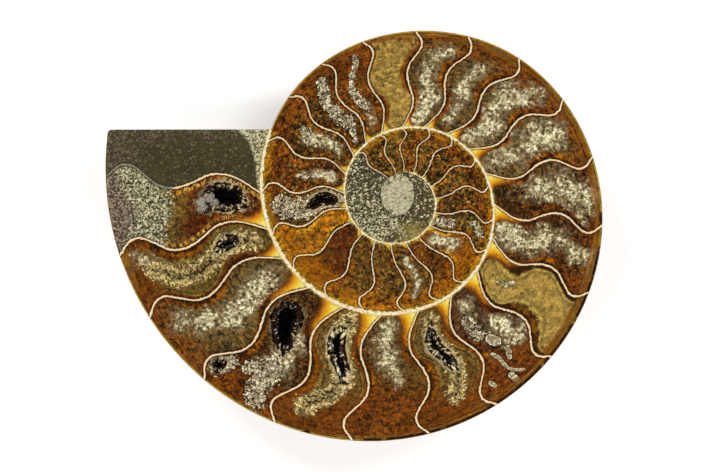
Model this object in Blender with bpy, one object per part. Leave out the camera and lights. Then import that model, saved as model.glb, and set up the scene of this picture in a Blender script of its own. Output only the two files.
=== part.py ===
"""Half of an ammonite, sawn along its coil and polished, lying on its flank with the cut face up.

The fossil is one stone solid. Its upper face is the flat saw cut through the middle of the coil. Its
underside is the shell's flank, with the open umbilicus in the middle, where the older whorls show.
One end of the coil is sawn off square. Some chambers are hollow, and a crust of calcite crystals
lines each hollow.

Lengths below are millimetres from the coil's centre, and angles are degrees. An angle runs inwards
along the coil, so 360 more is the same direction one whorl further in.
"""

import math
import random

import bmesh
import bpy

MM = 0.001

# The radius of the coil's outer edge at every eighth of a turn, from the open end inwards.
EDGE_START = 135.0
EDGE_STEP = 45.0
EDGE_RADII = (
    65.9, 62.0, 57.0, 52.3, 47.6, 43.4, 39.3, 34.5, 31.4, 28.9, 27.1, 25.3, 23.3, 20.1,
    16.9, 14.0, 12.3, 11.3, 11.0, 10.5, 9.5, 7.8, 5.9, 4.5, 3.6, 2.9, 2.4, 1.9,
)

THICKNESS = 13.0          # from the line that the flank rests on to the cut face
RIM = 0.8                 # height of the upright edge below the cut face
SAW_LINE = 13.86          # the open end is sawn off along this line, parallel to X
CORNER = 1.2              # the sawn corner is worn off over this length
SEAM_SHARE = 0.22         # the umbilical seam's radius as a share of the whorl's own edge radius
WIDTH_BASE = 3.5          # a whorl's half width is this,
WIDTH_SHARE = 0.3         # and this share of its edge radius, up to the thickness
WIDEST = 0.3              # where a whorl is widest, from its seam (0) to its edge (1)
CORE_DEPTH = 4.6          # stone under the cut face at the centre of the umbilicus
BLEND = 10                # how sharply two whorls meet at a seam: the higher, the sharper

EDGE_COLUMNS = 92         # steps round the outer edge
SAW_COLUMNS = 8           # steps along the sawn end
TWIST = 105.0             # columns this near to the sawn end turn to run along it
FLANK_ROWS = (1.0, 0.985, 0.95, 0.89, 0.8, 0.68, 0.55, 0.42, WIDEST, 0.22, 0.15, 0.08, 0.0)
UMBILICUS_ROWS = (0.86, 0.7, 0.54, 0.38, 0.2)

# Where each septum meets the outer wall of its whorl, from the open end inwards.
SEPTA = (
    176.5, 192.4, 206.4, 223.8, 241.7, 259.6, 277.6, 295.3, 313.6, 332.8, 351.4, 370.9, 389.9,
    408.2, 425.8, 443.7, 463.0, 480.3, 498.2, 518.0, 538.5, 557.7,
)
# How far a septum leans inwards along the coil, from the inner wall (0) to the outer wall (1).
LEAN = ((0.0, 3.0), (0.16, -0.9), (0.34, -3.0), (0.5, -0.9), (0.68, 1.8), (0.89, -2.6), (1.0, 0.0))

# Each hollow lies in the chamber of that number, counted from the open end. It runs from inner to
# outer, as shares of the way between the two walls, and its middle line lies across the chamber from
# one septum (-1) to the next (1), at its inner and its outer end.
HOLLOWS = {
    "crystal_crust_1": dict(chamber=1, inner=0.15, outer=0.52, across=(-0.1, -0.1), half=3.1, depth=6.5),
    "crystal_crust_2": dict(chamber=2, inner=0.29, outer=0.49, across=(-0.1, -0.1), half=1.7, depth=3.2),
    "crystal_crust_4": dict(chamber=4, inner=0.22, outer=0.6, across=(-0.2, -0.1), half=3.3, depth=7.0),
    "crystal_crust_4_outer": dict(
        chamber=4, inner=0.85, outer=0.93, across=(-0.7, -0.7), half=1.4, depth=2.6),
    "crystal_crust_5": dict(chamber=5, inner=0.2, outer=0.66, across=(-0.1, 0.2), half=2.1, depth=5.0),
    "crystal_crust_7": dict(chamber=7, inner=0.24, outer=0.66, across=(0.0, 0.0), half=1.7, depth=4.4),
    "crystal_crust_21": dict(chamber=21, inner=0.14, outer=0.6, across=(0.0, 0.0), half=1.5, depth=3.2),
}
GAP = 0.42                # between a crust and its hollow's wall
CRUST = 0.45              # a crust's thickness under its crystals
CRYSTAL = 0.9             # how far the longest crystals stand out of their crust
SUNK = 0.15               # how far a crust's rim lies below the cut face
SIDES = 18                # steps round a hollow
BOWL_STEPS = 5            # steps from a hollow's mouth to its bottom
ABOVE = 1.0               # how far a cutter reaches above the cut face

STONE = (0.26, 0.12, 0.045)
CALCITE = (0.72, 0.66, 0.55)


def curve_at(values, place):
    """The value at this place among evenly spaced values, on a smooth curve through them."""
    index = min(max(int(math.floor(place)), 0), len(values) - 2)
    share = place - index
    before = values[max(index - 1, 0)]
    start = values[index]
    end = values[index + 1]
    after = values[min(index + 2, len(values) - 1)]
    cubic = 3 * (start - end) + after - before
    square = 2 * before - 5 * start + 4 * end - after
    return start + 0.5 * share * (end - before + share * (square + share * cubic))


def edge_radius(angle):
    """The radius of the coil's outer edge at this angle along the coil."""
    logarithms = [math.log(radius) for radius in EDGE_RADII]
    return math.exp(curve_at(logarithms, (angle - EDGE_START) / EDGE_STEP))


def polar(angle, radius):
    return radius * math.cos(math.radians(angle)), radius * math.sin(math.radians(angle))


def saw_radius(angle):
    """The distance from the centre to the sawn end in this direction."""
    return SAW_LINE / math.sin(math.radians(angle))


def saw_crossing(low, high):
    """The angle along the coil at which its edge crosses the sawn line, found by halving."""
    for _ in range(50):
        middle = (low + high) / 2
        if (edge_radius(middle) > saw_radius(middle % 360)) == (edge_radius(low) > saw_radius(low % 360)):
            low = middle
        else:
            high = middle
    return low


CORNER_ANGLE = saw_crossing(150.0, 176.0)
NOTCH_ANGLE = saw_crossing(505.0, 525.0) - 360
NOTCH_RADIUS = saw_radius(NOTCH_ANGLE)
SAW_SEAM = SEAM_SHARE * edge_radius(NOTCH_ANGLE)
LAST_ANGLE = EDGE_START + EDGE_STEP * (len(EDGE_RADII) - 1)


def flank_shape(share):
    """A whorl's depth from its seam (0) to its edge (1), as a share of its half width."""
    if share < WIDEST:
        return (1 - ((WIDEST - share) / WIDEST) ** 2.5) ** 0.5
    return max(1 - ((share - WIDEST) / (1 - WIDEST)) ** 2.2, 0.0) ** 0.62


def whorl_depth(angle, radius):
    """How far one whorl reaches below the cut face, or 0 beside it."""
    edge = edge_radius(angle)
    seam = SEAM_SHARE * edge
    if not seam <= radius <= edge:
        return 0.0
    half_width = min(THICKNESS, WIDTH_BASE + WIDTH_SHARE * edge)
    return half_width * flank_shape((radius - seam) / (edge - seam))


def depth_below(direction, radius, last_whorl):
    """How far the stone reaches below the cut face: as far as the deepest whorl, blended at a seam."""
    angle = direction if last_whorl else direction + 360
    depths = []
    while angle < LAST_ANGLE:
        depths.append(whorl_depth(angle, radius))
        angle += 360
    depths.append(CORE_DEPTH * (1 - ease(radius / SAW_SEAM)))
    blended = sum(depth ** BLEND for depth in depths) ** (1 / BLEND)
    return min(max(RIM, blended), THICKNESS)


def ease(share):
    share = min(max(share, 0.0), 1.0)
    return share * share * (3 - 2 * share)


def outline():
    """The cut face's outline as (angle, radius): the sawn end, its worn corner, then the edge."""
    notch_x = polar(NOTCH_ANGLE, NOTCH_RADIUS)[0]
    corner_x = polar(CORNER_ANGLE, saw_radius(CORNER_ANGLE))[0]
    worn = [(1.0, 0.0), (0.35, 0.12), (0.08, 0.4)]
    ends = [(corner_x + along * CORNER, SAW_LINE - down * CORNER) for along, down in worn]
    reach = ends[0][0] - notch_x
    sawn = [(notch_x + reach * step / SAW_COLUMNS, SAW_LINE) for step in range(SAW_COLUMNS)]
    points = [(math.degrees(math.atan2(y, x)), math.hypot(x, y)) for x, y in sawn + ends]
    first = points[-1][0] + 1.0
    last = NOTCH_ANGLE + 360
    for step in range(EDGE_COLUMNS + 1):
        angle = first + (last - first) * step / EDGE_COLUMNS
        points.append((angle, edge_radius(angle)))
    return points


def turned(angle, radius):
    """The direction of a column's point at this radius: near the sawn end, it runs along that end."""
    held = min(max(radius, SAW_SEAM), NOTCH_RADIUS)
    saw_direction = 180 - math.degrees(math.asin(SAW_LINE / held))
    nearness = 1 - ease(min(angle - NOTCH_ANGLE, NOTCH_ANGLE + 360 - angle) / TWIST)
    return angle + (saw_direction - NOTCH_ANGLE) * nearness


def column_radii(angle, outer):
    """The radii of a column's points on the underside, from the outline inwards."""
    nearness = ease((angle - (NOTCH_ANGLE + 360 - TWIST)) / TWIST)
    seam = SEAM_SHARE * edge_radius(angle)
    seam += (SAW_SEAM - seam) * nearness
    flank = [seam + (outer - seam) * share for share in FLANK_ROWS]
    return flank + [seam * share for share in UMBILICUS_ROWS]


def underside_column(angle, outer, beside_saw):
    """The points of one column of the underside, from the outline inwards."""
    points = []
    for radius in column_radii(angle, outer):
        direction = turned(angle, radius) % 360
        x, y = polar(direction, radius)
        on_last_whorl = direction > 180 or (direction > 90 and y < SAW_LINE + 1e-6)
        depth = depth_below(direction, radius, on_last_whorl and not beside_saw)
        points.append((x, y, THICKNESS - depth))
    return points


def placed(point):
    """A point in metres, measured from the middle of the outline's box."""
    return tuple(MM * (value - middle) for value, middle in zip(point, (*box_middle(), 0.0)))


def box_middle():
    xs, ys = zip(*(polar(angle, radius) for angle, radius in outline()))
    return (min(xs) + max(xs)) / 2, (min(ys) + max(ys)) / 2


def add_face(shape, *corners):
    """A face on these corners, where a corner met twice counts once."""
    kept = list(dict.fromkeys(corners))
    if len(kept) > 2:
        shape.faces.new(kept)


def add_underside(shape, columns):
    """The flank and the umbilicus, with the sawn end's step where the last whorl lies on the older."""
    under = []
    for number, (angle, outer) in enumerate(columns):
        beside_saw = number == len(columns) - 1
        points = underside_column(angle, outer, beside_saw)
        if beside_saw:
            column = [
                vertex if abs(point[2] - start[2]) < 0.05 else shape.verts.new(placed(point))
                for point, start, vertex in zip(points, first_points, under[0])]
        else:
            column = [shape.verts.new(placed(point)) for point in points]
        if number == 0:
            first_points = points
        under.append(column)
    centre = shape.verts.new(placed((0.0, 0.0, THICKNESS - CORE_DEPTH)))
    rows = len(under[0])
    for left, right in zip(under, under[1:]):
        for row in range(rows - 1):
            add_face(shape, left[row], left[row + 1], right[row + 1], right[row])
        add_face(shape, left[-1], centre, right[-1])
    for row in range(rows - 1):
        add_face(shape, under[0][row], under[-1][row], under[-1][row + 1], under[0][row + 1])
    return [column[0] for column in under]


def fossil_shape():
    """The stone before its hollows are cut: the cut face, the upright rim and the underside."""
    shape = bmesh.new()
    columns = outline()
    top = [shape.verts.new(placed((*polar(*column), THICKNESS))) for column in columns[:-1]]
    ring = add_underside(shape, columns)
    shape.faces.new(top)
    add_face(shape, top[0], ring[-1], ring[0], ring[1], top[1])
    for number in range(1, len(top)):
        after = top[(number + 1) % len(top)]
        add_face(shape, top[number], ring[number], ring[number + 1], after)
    bmesh.ops.recalc_face_normals(shape, faces=shape.faces)
    return shape


def lean_at(share):
    """How far a septum leans inwards at this share of the way to the outer wall."""
    for (start, lean), (end, next_lean) in zip(LEAN, LEAN[1:]):
        if share <= end:
            return lean + (next_lean - lean) * ease((share - start) / (end - start))
    return 0.0


def chamber_point(hollow, share):
    """A point on a hollow's middle line, and the direction across the chamber there."""
    before, after = SEPTA[hollow["chamber"] - 1], SEPTA[hollow["chamber"]]
    along = (share - hollow["inner"]) / (hollow["outer"] - hollow["inner"])
    across = hollow["across"][0] + (hollow["across"][1] - hollow["across"][0]) * along
    angle = (before + after) / 2 + (after - before) / 2 * across + lean_at(share)
    inner, outer = edge_radius(angle + 360), edge_radius(angle)
    return (*polar(angle, inner * (outer / inner) ** share), angle + 90)


def hollow_ring(shape, hollow, inset, size, height):
    """A ring of points round a hollow, this far inside its wall, at this share of its size."""
    middle = (hollow["inner"] + hollow["outer"]) / 2
    reach = hollow["outer"] - middle
    start, end = chamber_point(hollow, hollow["inner"]), chamber_point(hollow, hollow["outer"])
    length = math.dist(start[:2], end[:2]) / 2
    ring = []
    for step in range(SIDES):
        turn = 2 * math.pi * step / SIDES
        share = middle + reach * size * (1 - inset / length) * math.cos(turn)
        x, y, direction = chamber_point(hollow, share)
        side_x, side_y = polar(direction, (hollow["half"] - inset) * size * math.sin(turn))
        ring.append(shape.verts.new(placed((x + side_x, y + side_y, height))))
    return ring


def join_rings(shape, rings):
    """The faces between rings, returned ring by ring."""
    faces = []
    for upper, lower in zip(rings, rings[1:]):
        for step in range(SIDES):
            after = (step + 1) % SIDES
            faces.append(shape.faces.new((upper[step], lower[step], lower[after], upper[after])))
    return faces


def bowl(shape, hollow, inset, mouth):
    """A bowl's rings from its mouth down, this far inside the hollow's wall, and its faces."""
    rings = []
    for step in range(BOWL_STEPS):
        turn = 0.5 * math.pi * step / BOWL_STEPS
        height = mouth - (hollow["depth"] - inset) * math.sin(turn)
        rings.append(hollow_ring(shape, hollow, inset, math.cos(turn) ** 0.7, height))
    faces = join_rings(shape, rings)
    faces.append(shape.faces.new(rings[-1]))
    return rings, faces


def add_cutter(shape, hollow):
    """The closed body that a hollow takes out of the stone."""
    rings, _ = bowl(shape, hollow, 0.0, THICKNESS)
    top = hollow_ring(shape, hollow, 0.0, 1.0, THICKNESS + ABOVE)
    join_rings(shape, [top, rings[0]])
    shape.faces.new(reversed(top))


def crust_shape(hollow, chance):
    """A hollow's lining: a bowl in a bowl, its inside set with flat-faced crystals."""
    shape = bmesh.new()
    mouth = THICKNESS - SUNK
    outer_rings, _ = bowl(shape, hollow, GAP, mouth)
    inset = GAP + CRUST
    inner_rings, inside = bowl(shape, hollow, inset, mouth)
    join_rings(shape, [inner_rings[0], outer_rings[0]])
    bmesh.ops.recalc_face_normals(shape, faces=shape.faces)
    room = min(CRYSTAL, 0.5 * (hollow["half"] - inset))
    for number, face in enumerate(inside):
        size = math.cos(0.5 * math.pi * (number // SIDES) / BOWL_STEPS)
        bmesh.ops.poke(shape, faces=[face], offset=MM * room * size * chance.uniform(0.25, 1.0))
    return shape


def add_object(name, shape, colour, roughness):
    mesh = bpy.data.meshes.new(name)
    shape.to_mesh(mesh)
    shape.free()
    made = bpy.data.objects.new(name, mesh)
    bpy.context.scene.collection.objects.link(made)
    material = bpy.data.materials.new(name)
    material.use_nodes = True
    shader = material.node_tree.nodes["Principled BSDF"]
    shader.inputs["Base Color"].default_value = (*colour, 1.0)
    shader.inputs["Roughness"].default_value = roughness
    mesh.materials.append(material)
    return made


def cut_hollows(fossil):
    """The hollows, taken out of the stone by a Boolean with every hollow's body."""
    shape = bmesh.new()
    for hollow in HOLLOWS.values():
        add_cutter(shape, hollow)
    bmesh.ops.recalc_face_normals(shape, faces=shape.faces)
    cutter = add_object("hollow_cutter", shape, STONE, 0.5)
    cutter.hide_render = True
    cutter.display_type = "WIRE"
    cut = fossil.modifiers.new("hollows", "BOOLEAN")
    cut.operation = "DIFFERENCE"
    cut.object = cutter


def build():
    for old in list(bpy.data.objects):
        bpy.data.objects.remove(old, do_unlink=True)
    fossil = add_object("fossil_half", fossil_shape(), STONE, 0.25)
    fossil.data.shade_smooth()
    fossil.data.set_sharp_from_angle(angle=math.radians(40))
    cut_hollows(fossil)
    chance = random.Random(7)
    for name, hollow in HOLLOWS.items():
        add_object(name, crust_shape(hollow, chance), CALCITE, 0.3)


build()
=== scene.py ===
import math

import bpy
import numpy as np
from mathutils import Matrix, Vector


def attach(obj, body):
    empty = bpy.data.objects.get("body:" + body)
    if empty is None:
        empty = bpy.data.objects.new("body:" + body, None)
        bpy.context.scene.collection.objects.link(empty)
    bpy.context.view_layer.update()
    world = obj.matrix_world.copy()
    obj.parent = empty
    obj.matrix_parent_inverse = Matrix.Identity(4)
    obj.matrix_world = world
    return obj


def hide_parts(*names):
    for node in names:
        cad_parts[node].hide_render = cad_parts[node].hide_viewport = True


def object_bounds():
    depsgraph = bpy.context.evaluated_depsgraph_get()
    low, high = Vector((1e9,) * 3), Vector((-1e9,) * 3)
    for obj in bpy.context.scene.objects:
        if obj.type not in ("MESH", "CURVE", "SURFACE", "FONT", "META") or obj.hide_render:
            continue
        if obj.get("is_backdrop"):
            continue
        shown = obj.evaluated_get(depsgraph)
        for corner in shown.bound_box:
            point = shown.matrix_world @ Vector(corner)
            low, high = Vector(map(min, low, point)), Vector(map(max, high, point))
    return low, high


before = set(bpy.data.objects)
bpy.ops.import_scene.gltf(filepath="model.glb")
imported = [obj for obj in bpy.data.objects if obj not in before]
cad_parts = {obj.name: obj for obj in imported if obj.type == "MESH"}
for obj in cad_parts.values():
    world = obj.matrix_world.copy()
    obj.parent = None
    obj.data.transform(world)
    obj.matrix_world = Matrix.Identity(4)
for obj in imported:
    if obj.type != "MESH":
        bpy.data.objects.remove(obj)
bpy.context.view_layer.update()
print("frame loaded")

# the coil, in millimetres from its centre and in degrees inwards along it, with the CAD's values
coil = {
    "edgeStart": 135.0,
    "edgeStep": 45.0,
    "edgeRadii": (
        65.9, 62.0, 57.0, 52.3, 47.6, 43.4, 39.3, 34.5, 31.4, 28.9, 27.1, 25.3, 23.3, 20.1,
        16.9, 14.0, 12.3, 11.3, 11.0, 10.5, 9.5, 7.8, 5.9, 4.5, 3.6, 2.9, 2.4, 1.9,
    ),
    "thickness": 13.0,
    "rim": 0.8,
    "sawLine": 13.86,
    "corner": 1.2,
    "cornerDrop": 0.45,    # the worn corner's height by its length
    "seamShare": 0.22,
    "widthBase": 3.5,
    "widthShare": 0.3,
    "widest": 0.3,
    "seamPowers": (2.5, 0.5),     # a flank's curve from its widest line to its seam, and to its edge
    "edgePowers": (2.2, 0.62),
    "coreDepth": 4.6,
    "blend": 10,        # how sharply two whorls meet at a seam underneath
    "twist": 105.0,     # the degrees over which the underside's rows turn along the saw cut
    "septa": (
        176.5, 192.4, 206.4, 223.8, 241.7, 259.6, 277.6, 295.3, 313.6, 332.8, 351.4, 370.9, 389.9,
        408.2, 425.8, 443.7, 463.0, 480.3, 498.2, 518.0, 538.5, 557.7, 575.6, 595.5, 614.1, 634.0,
        651.9, 668.0, 688.5, 706.0, 725.9, 745.1, 766.9, 785.5, 806.0, 826.0, 853.5,
    ),
    # how a septum leans inwards, by its share of the way out: in the last whorl, between, and in the
    # young shell
    "leanShares": (0.0, 0.08, 0.16, 0.25, 0.33, 0.42, 0.5, 0.58, 0.67, 0.75, 0.82, 0.88, 0.94, 1.0),
    "leanAdult": (3.0, 0.9, -1.1, -2.7, -3.1, -2.5, -0.7, 1.0, 1.9, 1.1, -1.2, -2.8, -2.3, 0.0),
    "leanBetween": (0.5, -1.0, -2.6, -4.2, -4.7, -4.1, -2.2, -0.4, 0.7, 0.0, -2.2, -3.8, -3.2, 0.0),
    "leanYoung": (-12.0, -11.0, -9.8, -8.4, -6.8, -4.6, -2.4, -0.4, 1.0, 0.5, -2.0, -4.2, -3.4, 0.0),
    "leanAngles": (420.0, 520.0, 640.0),
    # how a suture leans inwards on the flank, by its share of the way out
    "flankShares": (0.0, 0.3, 0.6, 1.0),
    "flankLean": (4.0, -1.5, 2.5, 9.0),
}


def smoothCurve(place, places, values):
    # a curve through the values: cubic pieces, each value's slope that of the line joining its neighbours
    places = np.asarray(places, float)
    values = np.asarray(values, float)
    wider = np.concatenate(([2 * places[0] - places[1]], places, [2 * places[-1] - places[-2]]))
    padded = np.concatenate(([values[0]], values, [values[-1]]))
    slopes = (padded[2:] - padded[:-2]) / (wider[2:] - wider[:-2])
    place = np.minimum(place, places[-1])
    index = np.clip(np.searchsorted(places, place, "right") - 1, 0, len(places) - 2)
    width = places[index + 1] - places[index]
    u = (place - places[index]) / width
    start = (1 + 2 * u) * (1 - u) ** 2 * values[index] + u * (1 - u) ** 2 * width * slopes[index]
    return start + u * u * (3 - 2 * u) * values[index + 1] + u * u * (u - 1) * width * slopes[index + 1]


def edgeRadius(angle):
    # the radius of the coil's outer edge at an angle along it: a smooth curve through the radii's
    # logarithms
    places = coil["edgeStart"] + coil["edgeStep"] * np.arange(len(coil["edgeRadii"]))
    return np.exp(smoothCurve(angle, places, np.log(coil["edgeRadii"])))


def spotAt(radius, degrees):
    # x is the radius by the cosine of the angle and y is the radius by its sine
    return radius * np.cos(np.radians(degrees)), radius * np.sin(np.radians(degrees))


def ease(share):
    # three times the square less twice the cube
    share = np.clip(share, 0.0, 1.0)
    return share * share * (3 - 2 * share)


def sawCrossing(low, high):
    # where the edge crosses the sawn line, on a fine row of angles
    angles = np.linspace(low, high, 20001)
    outside = edgeRadius(angles) > coil["sawLine"] / np.sin(np.radians(angles))
    return float(angles[np.argmax(outside != outside[0])])


cornerAngle = sawCrossing(150.0, 176.0)
notchAngle = sawCrossing(505.0, 525.0) - 360
notchRadius = coil["sawLine"] / math.sin(math.radians(notchAngle))
sawSeam = coil["seamShare"] * float(edgeRadius(notchAngle))


def septumLean(along, share):
    # the last whorl's septa are plain S curves, and younger ones sweep back at their inner end
    names = ("leanAdult", "leanBetween", "leanYoung")
    adult, between, young = (smoothCurve(share, coil["leanShares"], coil[name]) for name in names)
    first, second, third = coil["leanAngles"]
    toBetween = ease((along - first) / (second - first))
    toYoung = ease((along - second) / (third - second))
    return (adult * (1 - toBetween) + between * toBetween) * (1 - toYoung) + young * toYoung


def septumPhase(along, share):
    # 1 on the first septum, 2 on the second and so on, evenly between them, and on at 17 degrees each
    # past both ends
    beyond, before, after = 17.0, 10, 40
    septa = np.array(coil["septa"])
    angles = np.concatenate(([septa[0] - before * beyond], septa, [septa[-1] + after * beyond]))
    numbers = np.concatenate(([1.0 - before], np.arange(1, len(septa) + 1), [len(septa) + float(after)]))
    return np.interp(along - septumLean(along, share), angles, numbers)


def whorlShare(along, radius):
    # 0 on the whorl's inner wall and 1 on its outer wall, evenly by the logarithm of the radius
    inner = edgeRadius(along + 360)
    outer = edgeRadius(along)
    return np.clip(np.log(radius / inner) / np.maximum(np.log(outer / inner), 1e-6), 0.0, 1.0)


def whorlFields(angle, radius, whorl):
    # the phase, the mm from one septum to the next, the mm from the inner wall, and the share of the way
    # out
    along = angle + 360 * whorl
    share = whorlShare(along, radius)
    phase = septumPhase(along, share)
    turn, step = 0.2, 0.05    # degrees along and mm outwards, for the slopes
    around = septumPhase(along + turn, share) - septumPhase(along - turn, share)
    outwards = septumPhase(along, whorlShare(along, radius + step))
    outwards = outwards - septumPhase(along, whorlShare(along, np.maximum(radius - step, 0.01)))
    slope = np.hypot(around / (2 * np.radians(turn) * radius), outwards / (2 * step))
    spacing = np.clip(1 / np.maximum(slope, 0.01), 0.5, 20.0)
    return phase, spacing, radius - edgeRadius(along + 360), share


# the outline's points: along the sawn end, round its worn corner, and round the edge
outlineCounts = {"sawn": 65, "corner": 9, "edge": 600, "edgeStart": 0.35}


def outlineColumns():
    # the cut face's outline as angles and radii: the sawn end, its worn corner, and once round the edge
    notchX = notchRadius * math.cos(math.radians(notchAngle))
    cornerX = coil["sawLine"] / math.tan(math.radians(cornerAngle))
    turn = np.linspace(0, 1, outlineCounts["corner"])
    wornX = cornerX + coil["corner"] * (1 - turn) ** 2
    wornY = coil["sawLine"] - coil["cornerDrop"] * coil["corner"] * turn ** 2
    sawnX = np.linspace(notchX, wornX[0], outlineCounts["sawn"] + 1)[:-1]
    x = np.concatenate((sawnX, wornX[:-1]))
    y = np.concatenate((np.full(len(sawnX), coil["sawLine"]), wornY[:-1]))
    angles = np.degrees(np.arctan2(y, x))
    radii = np.hypot(x, y)
    rest = np.linspace(angles[-1] + outlineCounts["edgeStart"], notchAngle + 360, outlineCounts["edge"])
    return np.concatenate((angles, rest)), np.concatenate((radii, edgeRadius(rest)))


columnAngles, columnRadii = outlineColumns()
columnRadii[-1] = columnRadii[0]
outlineX, outlineY = spotAt(columnRadii, columnAngles)
middle = np.array([outlineX.min() + outlineX.max(), outlineY.min() + outlineY.max()]) / 2
far = 99.0    # the mm to a thing that isn't there

# each open hollow: its chamber, the shares of the way out where it starts and ends, its place across the
# chamber at both, half its width and its depth in mm; then its crust's crystals: how many, the longest in
# mm, and how pale they are at its inner and outer end, which also sets how deep their pale tone reaches
# before the painted shade in the hollow darkens it
hollowKeys = ("chamber", "inner", "outer", "across", "half", "depth", "crystals", "longest", "light")
hollowRows = {
    "crystal_crust_1": (1, 0.15, 0.52, (-0.1, -0.1), 3.1, 6.5, 330, 1.5, (0.9, 0.7)),
    "crystal_crust_2": (2, 0.29, 0.49, (-0.1, -0.1), 1.7, 3.2, 170, 1.2, (0.9, 0.9)),
    "crystal_crust_4": (4, 0.22, 0.6, (-0.2, -0.1), 3.3, 7.0, 360, 1.4, (0.0, 1.0)),
    "crystal_crust_4_outer": (4, 0.85, 0.93, (-0.7, -0.7), 1.4, 2.6, 110, 0.8, (0.9, 0.9)),
    "crystal_crust_5": (5, 0.2, 0.66, (-0.1, 0.2), 2.1, 5.0, 420, 1.6, (1.2, 1.4)),
    "crystal_crust_7": (7, 0.24, 0.66, (0.0, 0.0), 1.7, 4.4, 340, 1.35, (1.2, 1.6)),
    "crystal_crust_21": (21, 0.14, 0.6, (0.0, 0.0), 1.5, 3.2, 180, 0.8, (0.6, 0.9)),
}
hollows = {name: dict(zip(hollowKeys, row)) for name, row in hollowRows.items()}


def chamberAngle(chamber, share, across):
    # the angle along the coil at this share of the way out, across the chamber from -1 to 1
    before = coil["septa"][chamber - 1]
    after = coil["septa"][chamber]
    return (before + after) / 2 + (after - before) / 2 * across + septumLean(before, share)


def chamberSpot(chamber, share, across):
    # the same place in millimetres, with the angle
    angle = chamberAngle(chamber, share, across)
    inner = edgeRadius(angle + 360)
    return *spotAt(inner * (edgeRadius(angle) / inner) ** share, angle), angle


def hollowSize(x, y):
    # 0 on a hollow's middle line, 1 on its mouth and more outside: the smallest of all, and its depth
    angle = np.degrees(np.arctan2(y, x)) % 360
    radius = np.maximum(np.hypot(x, y), 0.01)
    wobble = 0.09 * np.sin(2.9 * x + 1.3 * y) * np.sin(2.3 * y - 1.7 * x)
    wobble = wobble + 0.05 * np.sin(6.1 * x) * np.sin(5.3 * y + 1)
    smallest = np.full(x.shape, far)
    depth = np.zeros(x.shape)
    for hollow in hollows.values():
        septum = coil["septa"][hollow["chamber"]]
        along = angle + 360 * (septum // 360)
        along = np.where(along < septum - 180, along + 360, along)
        inner = edgeRadius(along + 360)
        share = np.log(radius / inner) / np.log(edgeRadius(along) / inner)
        place = (share - hollow["inner"]) / (hollow["outer"] - hollow["inner"])
        across = hollow["across"][0] + (hollow["across"][1] - hollow["across"][0]) * place
        side = np.radians(along - chamberAngle(hollow["chamber"], np.clip(share, 0, 1), across)) * radius
        size = np.hypot(2 * place - 1, side / hollow["half"]) + wobble
        depth = np.where(size < smallest, hollow["depth"], depth)
        smallest = np.minimum(size, smallest)
    return smallest, depth


def hollowDistance(x, y):
    # the mm to the nearest mouth, less than 0 inside, and the direction straight away from it
    step = 0.05
    size, depth = hollowSize(x, y)
    slopeX = (hollowSize(x + step, y)[0] - hollowSize(x - step, y)[0]) / (2 * step)
    slopeY = (hollowSize(x, y + step)[0] - hollowSize(x, y - step)[0]) / (2 * step)
    slope = np.maximum(np.hypot(slopeX, slopeY), 0.05)
    return np.clip((size - 1) / slope, -9, 9), slopeX / slope, slopeY / slope, size, depth


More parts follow.
